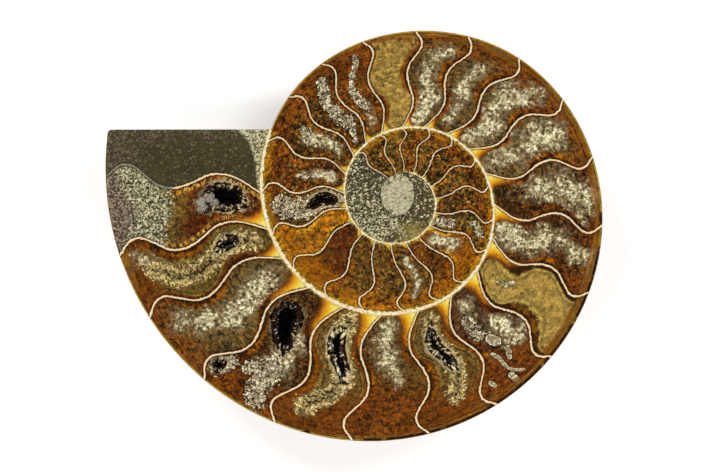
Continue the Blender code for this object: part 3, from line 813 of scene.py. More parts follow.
class Finish:
    # one material, and the one method that adds a node to it; a tone goes by its name
    def __init__(self, name):
        self.material = bpy.data.materials.new(name)
        self.material.use_nodes = True
        self.tree = self.material.node_tree
        self.shader = self.tree.nodes["Principled BSDF"]
        self.place = self.vector("SCALE", self.node("ShaderNodeTexCoord", {}, {}, "Object"), scale=1000.0)
        self.x, self.y, self.z = self.parts(self.place)

    def node(self, kind, settings, sockets, output=0):
        # first the node's settings, then its sockets: numbers, tones or wires
        node = self.tree.nodes.new(kind)
        for name, value in settings.items():
            if name == "stops":
                self.setStops(node.color_ramp, *value)
            else:
                setattr(node, name, value)
        for name, value in sockets.items():
            value = tones[value] if isinstance(value, str) else value
            if isinstance(value, Wire):
                self.tree.links.new(value.socket, node.inputs[name])
            elif node.inputs[name].type == "RGBA":
                node.inputs[name].default_value = (*value, 1.0)
            else:
                node.inputs[name].default_value = value
        return Wire(self, node.outputs[output])

    def setStops(self, ramp, interpolation, stops):
        # each stop is a place from 0 to 1 and a tone
        ramp.interpolation = interpolation
        while len(ramp.elements) < len(stops):
            ramp.elements.new(1.0)
        for element, (position, tone) in zip(ramp.elements, stops):
            element.position = position
            element.color = (*tones.get(tone, tone), 1.0)

    def ramp(self, value, stops, interpolation="LINEAR"):
        # the tone at this value between a row of stops
        return self.node("ShaderNodeValToRGB", {"stops": (interpolation, stops)}, {0: value})

    def vector(self, operation, *values, scale=None, output=0):
        # vectors or tones in one Vector Math node
        sockets = dict(enumerate(values))
        if scale is not None:
            sockets["Scale"] = scale
        return self.node("ShaderNodeVectorMath", {"operation": operation}, sockets, output)

    def parts(self, wire):
        # a vector's x, y and z as three wires
        node = self.node("ShaderNodeSeparateXYZ", {}, {0: wire}).socket.node
        return [Wire(self, output) for output in node.outputs]

    def joined(self, x, y, z):
        # three wires as one vector
        return self.node("ShaderNodeCombineXYZ", {}, {0: x, 1: y, 2: z})

    def distance(self, x, y):
        # the root of x squared plus y squared
        return self.vector("LENGTH", self.joined(x, y, 0.0), output=1)

    def field(self, name, output="Fac"):
        # one of the mesh's own fields
        return self.node("ShaderNodeAttribute", {"attribute_name": name}, {}, output)

    def mix(self, share, first, second):
        # the first by 1 less the share, plus the second by the share
        settings = {"data_type": "RGBA", "clamp_factor": True}
        return self.node("ShaderNodeMix", settings, {0: share, 6: first, 7: second}, 2)

    def level(self, tone, amount):
        # a tone made lighter or darker: each channel by the amount
        return self.vector("SCALE", tone, scale=amount)

    def tinted(self, tone, tint):
        # each channel of the tone by that of the tint
        return self.vector("MULTIPLY", tone, tint)

    def noise(self, scale, detail, rough=0.55, where=None, drift=0.0):
        # noise stretched about its middle, so that it fills the range from 0 to 1
        where = where or self.place
        if drift:
            where = self.vector("ADD", where, (drift, 1.7 * drift, 0.3 * drift))
        sockets = {"Vector": where, "Scale": scale, "Detail": detail, "Roughness": rough}
        return self.node("ShaderNodeTexNoise", {}, sockets, "Fac") * 2.4 - 0.7

    def bent(self, where, scale, amount):
        # a place moved aside by noise
        sockets = {"Vector": self.place, "Scale": scale, "Detail": 2.0}
        noises = self.node("ShaderNodeTexNoise", {}, sockets, "Color")
        return self.vector("ADD", where, self.vector("SCALE", noises, scale=amount))

    def cells(self, scale, where):
        # three numbers that are the same all over a cell
        return self.parts(self.node("ShaderNodeTexVoronoi", {}, {"Vector": where, "Scale": scale}, "Color"))

    def seams(self, scale, where):
        # the distance to the nearest seam between cells
        settings = {"feature": "DISTANCE_TO_EDGE"}
        return self.node("ShaderNodeTexVoronoi", settings, {"Vector": where, "Scale": scale}, "Distance")

    def connect(self, colour, roughness, height, bumpDistance):
        # into the shader, with the height as a bump of this many metres
        bump = self.node("ShaderNodeBump", {}, {"Distance": bumpDistance, "Height": height})
        for name, wire in (("Base Color", colour), ("Roughness", roughness), ("Normal", bump)):
            self.tree.links.new(wire.socket, self.shader.inputs[name])


# the tones of the stone and its calcite
tones = {
    # near black: for dark lines, and as painted shade in the hollows
    "outline": (0.008, 0.003, 0.001),
    "umber": (0.034, 0.013, 0.003),
    "maroon": (0.075, 0.014, 0.002),
    "russet": (0.150, 0.038, 0.003),
    "rust": (0.225, 0.066, 0.005),
    "amber": (0.450, 0.165, 0.006),
    "orange": (0.720, 0.380, 0.012),
    "straw": (0.800, 0.660, 0.140),
    "darkOlive": (0.034, 0.029, 0.008),
    "olive": (0.090, 0.064, 0.017),
    "brownOlive": (0.095, 0.050, 0.014),
    "greyOlive": (0.105, 0.076, 0.036),
    "khaki": (0.290, 0.195, 0.062),
    "fawn": (0.420, 0.290, 0.110),
    "greyWhite": (0.430, 0.390, 0.250),
    "needle": (0.480, 0.360, 0.140),
    "matrix": (0.330, 0.300, 0.170),
    "cream": (0.930, 0.680, 0.380),
    "ivory": (0.940, 0.890, 0.680),
    "buff": (0.820, 0.670, 0.380),
    "lemon": (0.520, 0.430, 0.060),
    "plum": (0.050, 0.026, 0.020),
    "lilac": (0.250, 0.185, 0.125),
    "lumpShade": (0.150, 0.125, 0.095),
    "lumpGrey": (0.440, 0.400, 0.320),
}
# ramps of the druse's flakes, the fillets' honey calcite and the pale sediment
druseStops = (
    (0.0, (0.014, 0.007, 0.003)), (0.2, (0.060, 0.033, 0.012)), (0.4, (0.190, 0.138, 0.064)),
    (0.6, (0.440, 0.378, 0.220)), (0.8, (0.700, 0.650, 0.450)), (1.0, (0.950, 0.930, 0.760)),
)
honeyStops = ((0.4, "straw"), (0.65, "orange"), (0.8, "amber"), (0.92, "russet"), (1.0, "umber"))
sedimentStops = (
    (0.0, (0.018, 0.015, 0.005)), (0.3, (0.080, 0.070, 0.027)), (0.5, (0.220, 0.198, 0.092)),
    (0.7, (0.350, 0.315, 0.170)), (1.0, (0.620, 0.580, 0.380)),
)
# each chamber's tone beside its walls, its tone further in, how clearly it is banded, how mottled it is
# and where its warm outer part starts as a share of the way out, from the open end inwards
chamberTones = (
    "darkOlive darkOlive 0 1 1", "rust maroon 0 0.7 1", "russet olive 0.7 0.6 0.84",
    "russet greyOlive 0 0.9 0.88", "maroon umber 0 1 0.8", "rust brownOlive 0.8 0.5 0.72",
    "russet brownOlive 0 0.8 0.66", "rust brownOlive 0.8 0.5 0.76", "maroon plum 0 0.8 0.7",
    "umber fawn 1 0.35 0.93", "russet umber 0 1 0.84", "russet umber 0 1 0.9", "rust greyOlive 0 1 0.86",
    "russet greyOlive 0 1 0.7", "russet greyOlive 0 0.9 0.84", "rust greyOlive 0 0.9 0.86",
    "rust fawn 0.3 0.4 0.93", "rust russet 0 0.8 0.74", "russet umber 0 0.9 0.84", "rust umber 0 1 0.8",
    "rust maroon 0 1 0.8", "rust umber 0.4 0.7 0.86", "orange amber 0 0.65 0.8",
    "maroon maroon 0 0.4 0.74", "rust brownOlive 0.2 0.8 0.8", "rust brownOlive 0 1 0.8",
    "russet brownOlive 0 0.9 0.8", "russet russet 0 0.8 0.8", "orange rust 0 0.8 0.7",
    "russet olive 0 1 0.9", "rust umber 0 1.2 0.8", "amber brownOlive 0 1.2 0.8", "rust umber 0 1.2 0.8",
    "rust brownOlive 0 1.2 0.8", "amber russet 0 1 0.8", "amber olive 0 1 0.9", "russet umber 0 1 0.9",
    "darkOlive darkOlive 0 1 1",
)
mostStops = 32    # that a ramp holds
# the cut face's lines, in mm, and its shine
cutFace = {
    "septumHalf": 0.2,
    "ragged": 0.1,
    "outlineWidth": 0.45,
    "polish": 0.13,
    "coat": 0.1,
    "coatRoughness": 0.04,
    "relief": 0.00003,    # in metres, as every bump's distance
}


def chamberTone(finish, chamber, which):
    # the tone of a chamber by its number, or half of a value: two stepped ramps, because one hasn't
    # enough stops
    words = [row.split()[which] for row in chamberTones]
    steps = [word if word in tones else (float(word) / 2,) * 3 for word in words]
    place = (chamber + 0.5) / mostStops
    ramps = [
        finish.ramp(value, [(number / mostStops, tone) for number, tone in enumerate(part)], "CONSTANT")
        for value, part in ((place, steps[:mostStops]), (place - 1.0, steps[mostStops:]))
    ]
    return finish.mix(place > 1.0, *ramps)


class CoilPlace:
    # where a point of the cut face lies on the coil: its whorl, its chamber, and the mm from each wall
    def __init__(self, finish, grains):
        wall = grains.shaken(finish.field("wall"), medium=0.14, fine=0.1)
        self.isEven = wall > 0.0
        whorls = {0: self.isEven, 4: finish.field("odd", "Vector"), 5: finish.field("even", "Vector")}
        whorl = finish.node("ShaderNodeMix", {"data_type": "VECTOR"}, whorls, 1)
        phase, self.spacing, self.fromInner = finish.parts(whorl)
        self.fromWall = abs(wall)
        self.share = self.isEven * finish.field("evenShare") + (1 - self.isEven) * finish.field("oddShare")
        aside = (grains.medium - 0.5) * 0.2 + (grains.fine - 0.5) * cutFace["ragged"]
        self.bent = phase + aside / self.spacing
        self.chamber = self.bent.maths("FLOOR").most(0.0).least(float(len(coil["septa"])))
        self.within = (self.bent - self.chamber).least(1.0)
        self.isBody = self.bent < 1.0
        self.isCentre = self.bent > float(len(coil["septa"]))
        self.isOlder = self.chamber > 15.5
        self.isFirst = self.isChamber(1)
        self.fromLow = self.within * self.spacing + self.isBody * far
        self.fromHigh = (1 - self.within) * self.spacing + self.isCentre * far
        self.fromSepta = self.fromLow.least(self.fromHigh)
        self.paleSlant = self.within.fromTo(0.2, 0.9) * 0.08

    def isChamber(self, number):
        return (self.chamber > number - 0.5) * (self.chamber < number + 0.5)


class Grains:
    # the noises and cells that the finishes share
    def __init__(self, finish):
        self.broad = finish.noise(0.4, 3.0)
        self.medium = finish.noise(1.2, 3.0, drift=7.0)
        self.fine = finish.noise(2.8, 3.0, 0.6, drift=3.0)
        self.grain = finish.noise(4.6, 2.0, 0.6)
        self.specks = finish.noise(1.6, 5.0, 0.85, drift=11.0)
        self.patches = finish.noise(0.24, 2.0, drift=19.0)
        self.drifted = finish.bent(finish.place, 1.3, 0.8)
        self.facetTone, self.facetSpread, self.facetHue = finish.cells(1.5, self.drifted)
        self.flakeTone, self.flakeSpread, self.flakeHue = finish.cells(2.5, self.drifted)

    def standOnWalls(self, finish, coilPlace):
        # fibres of calcite that stand on the walls, and streaks that run out from the septa
        fromInner, fromSepta, spacing = coilPlace.fromInner, coilPlace.fromSepta, coilPlace.spacing
        along = finish.joined(fromInner * 2.6, coilPlace.within * spacing * 0.6, coilPlace.chamber * 5.3)
        self.stripes = finish.bent(along, 0.9, 1.6)
        self.fibre = finish.noise(1.0, 3.0, 0.65, self.stripes)
        self.streak = finish.noise(1.0, 2.0, 0.6, finish.joined(fromInner * 2.8, fromSepta * 0.7, 4.0))

    def shaken(self, wire, **amounts):
        # a wire moved up and down by noises, each by its own amount
        for name, amount in amounts.items():
            wire = wire + (getattr(self, name) - 0.5) * amount
        return wire

    def blended(self, **shares):
        # noises added together, each by its own share
        wires = [getattr(self, name) * share for name, share in shares.items()]
        return sum(wires[1:], wires[0])


def chamberBase(finish, grains, coilPlace):
    # a dark line along the walls, a warm rim and the chamber's own core
    chamber, share = coilPlace.chamber, coilPlace.share
    fromLow, fromHigh = coilPlace.fromLow, coilPlace.fromHigh
    rim, core, *amounts = (chamberTone(finish, chamber, which) for which in range(5))
    banded, mottled, warmStart = (finish.parts(amount)[0] * 2.0 for amount in amounts)
    scale = (coilPlace.spacing / 10.0).least(1.0) ** 0.8
    lowWidth = 0.5 + banded * 0.35 + 1.2 * share.fromTo(0.42, 0.6) * share.fromTo(0.95, 0.82)
    highWidth = 0.55 + banded * 0.35 + 1.2 * share.fromTo(0.58, 0.4)
    wallWidth = 0.7 + banded * 0.5 + share.fromTo(0.75, 0.95) * 1.1
    edge = (fromLow / lowWidth).maths("SMOOTH_MIN", fromHigh / highWidth, 0.5)
    edge = edge.maths("SMOOTH_MIN", coilPlace.fromWall / wallWidth, 0.6) / scale
    deep = grains.shaken(edge, broad=0.4, medium=0.25, fine=0.3)

    rim = finish.mix(deep.fromTo(0.75, 0.35) * 0.95, rim, "umber")
    crest = share.fromTo(0.45, 0.6) * share.fromTo(0.9, 0.76) * fromLow.fromTo(2.3, 0.9)
    crest = crest * grains.broad.fromTo(0.2, 0.6)
    inner = share.fromTo(0.5, 0.3) * fromHigh.fromTo(1.8, 0.8) * grains.broad.fromTo(0.35, 0.7)
    crest = crest.most(inner * 0.7)
    crest = crest * (0.65 + grains.fibre * 0.35) * (0.6 - coilPlace.isOlder * 0.3)
    rim = finish.mix(crest * deep.fromTo(0.35, 0.7), rim, "amber")
    core = finish.mix(grains.facetSpread.fromTo(0.55, 0.95) * mottled * 0.4, core, "rust")
    core = finish.mix(grains.facetHue.fromTo(0.5, 0.95) * mottled * 0.55, core, "plum")
    pale = grains.blended(facetSpread=0.6, fine=0.4).fromTo(0.35, 0.1)
    core = finish.mix(pale * mottled * 0.5, core, "khaki")
    colour = finish.mix(deep.fromTo(0.85, 1.25), rim, core)

    # the older whorls have olive stains and amber flecks
    stained = finish.mix(grains.facetTone.fromTo(0.3, 0.8), "darkOlive", "brownOlive")
    stains = coilPlace.isOlder * grains.blended(facetHue=0.6, medium=0.4).fromTo(0.5, 0.75) * mottled
    colour = finish.mix(stains * 0.85, colour, stained)
    flecked = finish.mix(grains.flakeHue.fromTo(0.3, 0.9), "amber", "needle")
    flecks = grains.blended(flakeSpread=0.6, specks=0.4).fromTo(0.64, 0.8) * mottled
    colour = finish.mix(coilPlace.isOlder * flecks * 0.55, colour, flecked)

    # pale bands that follow the walls, with shadow between them
    band = deep.bell(1.4, 0.2) + deep.bell(2.4, 0.35) * 0.4
    shadow = banded * deep.fromTo(0.7, 1.0) * deep.fromTo(3.0, 1.6) * (1 - band)
    colour = finish.mix(shadow * 0.5, colour, finish.mix(deep.fromTo(1.2, 1.6), "umber", "darkOlive"))
    colour = finish.mix(banded ** 3 * band * 0.85, colour, finish.level("needle", 0.6 + grains.fine * 0.6))

    # the first chamber is olive gold beside the pale sediment and has a fibrous lining
    besidePale = grains.shaken(coilPlace.share - coilPlace.paleSlant, medium=0.1).fromTo(0.53, 0.63)
    gold = finish.mix(grains.blended(fine=0.5, specks=0.5), "darkOlive", "khaki")
    colour = finish.mix(coilPlace.isFirst * besidePale * 0.8, colour, gold)
    lining = grains.shaken(coilPlace.fromSepta, fine=0.3, medium=0.35)
    honeyed = finish.mix(grains.medium.fromTo(0.2, 0.8), "amber", "needle")
    honeyed = finish.mix(grains.streak.fromTo(0.5, 0.7), honeyed, "maroon")
    lined = coilPlace.isFirst * lining.fromTo(1.6, 1.2) * lining.fromTo(0.45, 0.75)
    colour = finish.mix(lined, colour, honeyed)

    # the outer part of a whorl is warmer: red in the last whorl and orange in the one before
    past = grains.shaken(share - warmStart, broad=0.12, medium=0.08)
    warmTone = finish.mix(grains.blended(fine=0.6, fibre=0.4), "maroon", "rust")
    glowing = (chamber > 21.5) * (chamber < 28.5) * (0.3 + grains.broad * 0.7)
    warmTone = finish.mix(glowing * 0.7, warmTone, "amber")
    colour = finish.mix(past.fromTo(-0.05, 0.09) * 0.85, colour, warmTone)
    margin = grains.shaken(coilPlace.fromWall, medium=1.1, fine=0.6).fromTo(2.3, 1.2)
    margin = coilPlace.isOlder * (margin * share.fromTo(0.5, 0.6)) * (0.3 + grains.broad * 0.45)
    margin = margin * (1 - 0.4 * (chamber > 24.5))
    marginTone = finish.mix(grains.blended(fine=0.5, specks=0.5), "russet", "orange")
    colour = finish.mix(margin, colour, marginTone)

    # light and dark grains all over, and single glints
    light = grains.blended(facetTone=0.3, specks=0.4, fibre=0.3)
    light = (0.95 + (light - 0.5) * (0.9 + mottled * 3.6)) * (0.62 + grains.grain * 0.6)
    light = light * (1.0 - grains.patches.fromTo(0.55, 0.9) * mottled * 0.45)
    colour = finish.level(colour, light.most(0.12))
    glint = grains.blended(specks=0.6, grain=0.4).fromTo(0.62, 0.9) * deep.fromTo(0.5, 1.2) * mottled
    colour = finish.mix(glint * 0.65, colour, finish.mix(grains.flakeTone, "greyWhite", "amber"))
    return finish.tinted(colour, (1.0, 0.92, 0.52)), deep


def druseOver(finish, grains, colour, deep):
    # white druse: scattered flakes that close up towards the middle of a stretch, over a brown haze
    density = grains.shaken(finish.field("druse"), patches=1.5, broad=0.7, medium=0.5)
    inside = deep.fromTo(0.6, 1.1)
    spread = grains.blended(specks=0.35, flakeSpread=0.25)
    spread = spread + finish.cells(1.0, grains.stripes)[1] * 0.25 + grains.fibre * 0.15
    value = grains.blended(flakeTone=0.3, facetTone=0.2, specks=0.25, medium=0.25)
    haze = finish.mix(grains.medium, "khaki", "lilac")
    haze = finish.level(haze, 0.2 + ((value - 0.5) * 2.0 + 0.5).most(0.0) * 1.1)
    veil = grains.shaken(density, fine=0.6).fromTo(-0.55, 0.35) * (0.45 + grains.specks * 0.6)
    colour = finish.mix(veil.least(0.8) * inside, colour, haze)
    value = (value - 0.5) * 1.55 + 0.5 + (density.least(0.9) - 0.4) * 0.25
    flake = finish.level(finish.ramp(value, druseStops), 0.72 + grains.broad * 0.38)
    cover = (spread + (density.least(0.7) - 0.3) * 0.42).fromTo(0.5, 0.58) * density.fromTo(-1.0, -0.2)
    return finish.mix(cover * inside, colour, finish.tinted(flake, (1.0, 0.97, 0.84)))


def chunksOver(finish, grains, colour):
    # lumps of cream calcite, each its own tone, with dark seams between them
    chunks = grains.shaken(finish.field("chunks"), medium=0.9, fine=0.5)
    lump = finish.cells(1.25, grains.drifted)[0]
    seam = grains.shaken(finish.seams(1.25, grains.drifted), fine=0.08)
    inner = finish.mix(lump * 0.6 + grains.medium * 0.4, "lilac", "ivory")
    tone = finish.mix(grains.shaken(chunks, flakeHue=0.3).fromTo(0.3, 0.1), inner, "ivory")
    tone = finish.level(tone, 0.45 + lump * 0.3 + grains.fine * 0.45)
    tone = finish.mix(grains.blended(flakeTone=0.5, specks=0.5).fromTo(0.4, 0.3), tone, "umber")
    colour = finish.mix(chunks.fromTo(-0.35, -0.1) * 0.85, colour, "umber")
    cover = chunks.fromTo(-0.02, 0.08) * seam.fromTo(0.04, 0.1) * (lump * 0.6 + chunks).fromTo(0.12, 0.25)
    return finish.mix(cover, colour, finish.tinted(tone, (1.0, 0.94, 0.78)))


def shapesOver(finish, grains, colour):
    # single smooth crystals, each with a pale line round it and a dark one outside
    shape = grains.shaken(finish.field("shapes"), fine=0.12, medium=0.16)
    crack = finish.seams(0.9, grains.drifted)
    tone = finish.mix(grains.blended(broad=0.5, specks=0.5), "lilac", "greyWhite")
    tone = finish.level(tone, 0.45 + grains.medium * 0.8)
    tone = finish.mix(grains.blended(flakeTone=0.5, grain=0.5).fromTo(0.6, 0.75) * 0.7, tone, "ivory")
    tone = finish.mix(crack.fromTo(0.07, 0.03) * 0.6, tone, "umber")
    tone = finish.mix(shape.fromTo(0.28, 0.12) * grains.medium.fromTo(0.35, 0.65), tone, "ivory")
    colour = finish.mix(shape.fromTo(-0.6, -0.1) * grains.broad.fromTo(0.2, 0.7), colour, "outline")
    return finish.mix(shape.fromTo(-0.02, 0.08), colour, finish.tinted(tone, (1.0, 0.95, 0.8)))


def needlesOver(finish, grains, colour):
    # dog-tooth needles with brown gaps between them, on both sides of a dark broken slit
    field = grains.shaken(finish.field("needles"), medium=0.5, broad=0.35)
    needles = grains.shaken(field, fibre=0.7, flakeSpread=0.5)
    value = grains.blended(flakeTone=0.35, fibre=0.25, grain=0.2, specks=0.2)
    tone = finish.mix(grains.fine.fromTo(0.35, 0.85), "needle", "ivory")
    tone = finish.tinted(finish.level(tone, value.fromTo(0.32, 0.66) * 0.9 + 0.07), (1.0, 0.9, 0.6))
    middling = grains.shaken(field, fine=0.4).fromTo(0.4, 0.75)
    tone = finish.level(tone, 1.15 - middling * 0.5)
    pitted = grains.blended(flakeTone=0.5, fibre=0.3, grain=0.2).fromTo(0.5, 0.4)
    tone = finish.mix(pitted * middling * 0.85, tone, finish.mix(grains.medium, "umber", "brownOlive"))
    backing = finish.level("khaki", 0.25 + grains.fine * 0.5)
    colour = finish.mix(field.fromTo(-0.3, 0.15) * 0.7, colour, backing)
    colour = finish.mix(needles.fromTo(0.05, 0.2), colour, tone)
    return finish.mix(grains.shaken(field, fibre=0.8, fine=0.6).fromTo(0.9, 1.05), colour, "outline")


class Mud:
    # fine-grained sediment: its cells, a value for its ramps, and its dark tone with grey specks
    def __init__(self, finish, grains):
        self.seeds = finish.cells(3.3, finish.place)
        self.value = self.seeds[0] * 0.5 + grains.specks * 0.3 + grains.fine * 0.2
        self.spread = (self.value - 0.5) * 2.3 + 0.47
        dark = finish.mix(grains.broad * 0.6, "darkOlive", "olive")
        dark = finish.level(dark, 0.55 + self.value * 0.75)
        specks = (self.value + self.seeds[1] * 0.3).fromTo(0.82, 1.05)
        self.dark = finish.mix(specks * 0.6, dark, finish.level("greyWhite", 0.7))


def openSediment(finish, grains, coilPlace, mud, colour):
    # dark sediment in the open chamber, rusty beside the saw and the edge, and paler in the first chamber
    sawn, edge = finish.field("sawn"), finish.field("edge")
    rusty = finish.mix(mud.spread.fromTo(0.2, 1.2), "plum", "lilac")
    sawnBand = grains.shaken(sawn, broad=4.0).fromTo(3.5, 0.5)
    outerBand = grains.shaken(edge, broad=5.0).fromTo(11.0, 2.0)
    body = finish.mix(sawnBand.most(outerBand * 0.9) * 0.8, mud.dark, rusty)
    colour = finish.mix(coilPlace.isBody, colour, finish.tinted(body, (0.78, 0.83, 0.66)))

    margin = grains.shaken(edge + abs(finish.y - 5.0) * 0.4, medium=2.0, broad=2.0).fromTo(6.7, 4.5)
    pale = finish.ramp(mud.spread - margin * 0.16, sedimentStops)
    pale = finish.mix(margin * 0.75, pale, finish.mix(mud.spread.fromTo(0.1, 1.0), "plum", "lilac"))
    start = grains.shaken(coilPlace.share, medium=0.07, fine=0.04) - coilPlace.paleSlant
    paleShare = coilPlace.isFirst * start.fromTo(0.66, 0.69)
    colour = finish.mix(paleShare, colour, pale)

    # a pale wedge beside the inner wall, thinner away from the saw
    wedge = grains.shaken(coilPlace.fromInner, medium=0.3) - 6.5 * (sawn / -4.0).maths("EXPONENT") - 0.6
    wedgeTone = finish.ramp(mud.spread * 0.8 + 0.22, sedimentStops)
    return finish.mix(coilPlace.isBody * wedge.fromTo(0.12, -0.12), colour, wedgeTone), paleShare


def centreSediment(finish, grains, mud):
    # the centre: specks on its lower left, green and ochre at its lower right, and a pale oval in the
    # middle
    fromX = finish.x + middle[0]
    fromY = finish.y + middle[1]
    fromDust = finish.distance(fromX + 5.4, fromY + 5.4)
    side = grains.shaken(0.36 - fromDust * 0.055, medium=0.4, broad=0.3)
    side = side.most(grains.shaken(fromY * 0.008 - 0.08, medium=0.6))
    fromOchre = finish.distance((fromX - 3.2) / 3.6, (fromY + 8.2) / 2.8)
    ochre = grains.shaken(fromOchre, medium=0.9, fine=0.5).fromTo(1.1, 0.5)
    green = grains.shaken(fromX * 0.1 - fromY * 0.06, broad=0.8).fromTo(-0.1, 0.5)
    colour = finish.mix(green * 0.6, mud.dark, finish.level("olive", 0.35 + mud.value * 0.7))
    ochreTone = finish.mix(0.35, "khaki", "lemon")
    colour = finish.mix(ochre * 0.8, colour, finish.level(ochreTone, 0.1 + mud.value * 1.0))
    dusty = finish.ramp(mud.spread - 0.05 + side * 0.1, sedimentStops)
    colour = finish.mix((mud.spread * 0.7 + side).fromTo(0.45, 0.65) * (1 - ochre * 0.7), colour, dusty)
    oval = grains.shaken(finish.distance(fromX / 3.5, fromY / 4.4), medium=0.08, fine=0.05)
    tone = finish.mix(0.35, finish.ramp(mud.spread * 0.55 + 0.48, sedimentStops), "greyWhite")
    spots = grains.shaken(grains.facetSpread * 0.6 + mud.seeds[2] * 0.2 + oval * 0.2, fine=0.15)
    tone = finish.mix(spots.fromTo(0.74, 0.8) * 0.8, tone, "darkOlive")
    colour = finish.mix(grains.shaken(oval, broad=0.2).fromTo(1.16, 1.05) * 0.8, colour, "darkOlive")
    return finish.mix(oval.fromTo(1.03, 0.99), colour, tone)


def lipAndHollowShadeOver(finish, grains, coilPlace, colour):
    # a pale ragged lip round each hollow, least in the fourth and on one side of the first, and inside the
    # mouth the face painted near black as painted shade down the hollow
    mouth = grains.shaken(finish.field("mouth"), fine=0.7, medium=0.7, fibre=0.4)
    lip = finish.level(finish.mix(grains.grain, "needle", "buff"), 0.25 + grains.fine * 0.75)
    lipped = (0.25 + grains.broad * 1.1).least(0.9) * (1 - 0.75 * coilPlace.isChamber(4))
    lipped = lipped * (1 - 0.6 * (coilPlace.chamber < 1.5) * coilPlace.fromInner.fromTo(9.0, 12.0))
    colour = finish.mix(mouth.fromTo(0.7, 0.4) * lipped, colour, lip)
    # inside the mouth the face goes near black: painted shade down the hollow
    return finish.mix(mouth.fromTo(-0.05, -0.25), colour, "outline")


def honeyOver(finish, grains, coilPlace, wallHalf, filled, colour):
    # fillets of honey calcite where a septum meets the inner wall, on its outer side
    leg = 0.16 * coilPlace.spacing ** 1.7 + 0.45
    legs = ((coilPlace.fromHigh - 0.25) / leg, (coilPlace.fromInner - wallHalf) / leg)
    fillet = legs[0].most(0.0) ** 0.8 + legs[1].most(0.0) ** 0.8
    fillet = grains.shaken(fillet, medium=0.16, fine=0.12)
    yellowed = coilPlace.isOlder * fillet.fromTo(0.9, 0.6) * 0.7
    honey = finish.mix(yellowed, finish.ramp(fillet, honeyStops), "lemon")
    honey = finish.level(honey, 0.85 + grains.grain * 0.35)
    return finish.mix(fillet.fromTo(1.08, 0.9) * filled, colour, honey)


def rindOver(finish, grains, coilPlace, filled, colour):
    # the outer edge: ochre and green layers along it, wider on one side, and a rind with dark patches
    edge = finish.field("edge")
    fromEdge = grains.shaken(edge, medium=0.5)
    aside = finish.x / 50.0
    wide = 0.7 + aside.fromTo(-0.3, 0.8) * 1.6 + aside.fromTo(-0.88, -0.94) * 1.2
    layers = finish.noise(1.0, 2.0, 0.6, finish.joined(fromEdge * 1.7, coilPlace.bent * 1.2, 3.0))
    tone = finish.mix(layers.fromTo(0.2, 0.8), "maroon", "amber")
    tone = finish.mix(layers.fromTo(0.55, 0.65) * layers.fromTo(0.85, 0.7), tone, "olive")
    tone = finish.level(tone, 0.55 + grains.fine * 0.6)
    colour = finish.mix((fromEdge / wide).fromTo(1.15, 0.7) * 0.85 * filled, colour, tone)
    blackened = grains.blended(patches=0.4, broad=0.1) + (finish.x - finish.y) / 130.0
    blackened = blackened.fromTo(0.45, 0.65)
    thick = edge / (1.0 + blackened * 1.5)
    rind = thick.fromTo(0.34, 0.2) * (0.5 + grains.medium * 0.5 + blackened * 0.2)
    return finish.mix(rind, colour, finish.mix(blackened, "lemon", "outline"))


def polishedFace():
    # the cut: the chambers' stone and what fills them, then the sediment, then the septa and walls over all
    finish = Finish("polishedCut")
    grains = Grains(finish)
    medium, fine = grains.medium, grains.fine
    coilPlace = CoilPlace(finish, grains)
    grains.standOnWalls(finish, coilPlace)
    filled = (1 - coilPlace.isBody) * (1 - coilPlace.isCentre)
    wallHalf = finish.field("wallHalf") * (0.65 + medium * 0.45) + (fine - 0.5) * 0.2
    mud = Mud(finish, grains)
    colour, deep = chamberBase(finish, grains, coilPlace)
    colour = druseOver(finish, grains, colour, deep)
    for layer in (chunksOver, shapesOver, needlesOver):
        colour = layer(finish, grains, colour)
    colour = lipAndHollowShadeOver(finish, grains, coilPlace, colour)
    colour = honeyOver(finish, grains, coilPlace, wallHalf, filled, colour)
    colour = rindOver(finish, grains, coilPlace, filled, colour)
    colour, paleShare = openSediment(finish, grains, coilPlace, mud, colour)
    colour = finish.mix(coilPlace.isCentre, colour, centreSediment(finish, grains, mud))

    # septa and whorl walls: cream shell with a dark line on each side
    septumHalf = cutFace["septumHalf"] * (coilPlace.spacing / 11.0).least(1.2) ** 0.5 * (0.8 + fine * 0.4)
    lines = coilPlace.fromSepta - septumHalf
    wallLine = coilPlace.fromWall - wallHalf
    nearest = lines.least(wallLine)
    onWall = wallLine < lines
    septumTone = finish.mix(medium.fromTo(0.5, 1.1), "cream", "ivory")
    wallTone = finish.mix(medium.fromTo(0.2, 1.0), "cream", "ivory")
    wallTone = finish.mix(grains.blended(fine=0.6, medium=0.4).fromTo(0.42, 0.25), wallTone, "lemon")
    wallTone = finish.mix(fine.fromTo(0.2, 0.05), wallTone, "olive")
    shellTone = finish.level(finish.mix(onWall, septumTone, wallTone), 0.72 + grains.grain * 0.3)
    byPale = (coilPlace.bent < 1.5) * coilPlace.share.fromTo(0.64, 0.68) * (coilPlace.fromSepta < 1.0)
    outline = nearest.fromTo(cutFace["outlineWidth"], 0.05) * (0.6 + medium * 0.5)
    colour = finish.mix(outline * (1 - onWall * 0.8), colour, "outline")
    halo = wallLine.fromTo(0.55, 0.05) * medium.fromTo(0.1, 0.9) * (wallHalf > 0.15) * 0.8
    colour = finish.mix(halo, colour, finish.level("lemon", 0.3 + fine * 0.8))
    shellTone = finish.mix(byPale, shellTone, "matrix")
    colour = finish.mix(nearest.fromTo(0.06, -0.1) * (1 - byPale * 0.4), colour, shellTone)

    # the polish is a little duller on the sediment, and crystal edges stand up by hundredths of a
    # millimetre
    dull = coilPlace.isBody.most(coilPlace.isCentre).most(paleShare)
    roughness = cutFace["polish"] + dull * 0.16 + fine * 0.06 + grains.flakeSpread * 0.04
    height = grains.blended(specks=0.4, fine=0.4) + dull * grains.grain * 0.5
    height = height + nearest.fromTo(0.1, -0.1) * 0.5
    finish.shader.inputs["Coat Weight"].default_value = cutFace["coat"]
    finish.shader.inputs["Coat Roughness"].default_value = cutFace["coatRoughness"]
    finish.connect(colour, roughness, height, cutFace["relief"])
    return finish.material


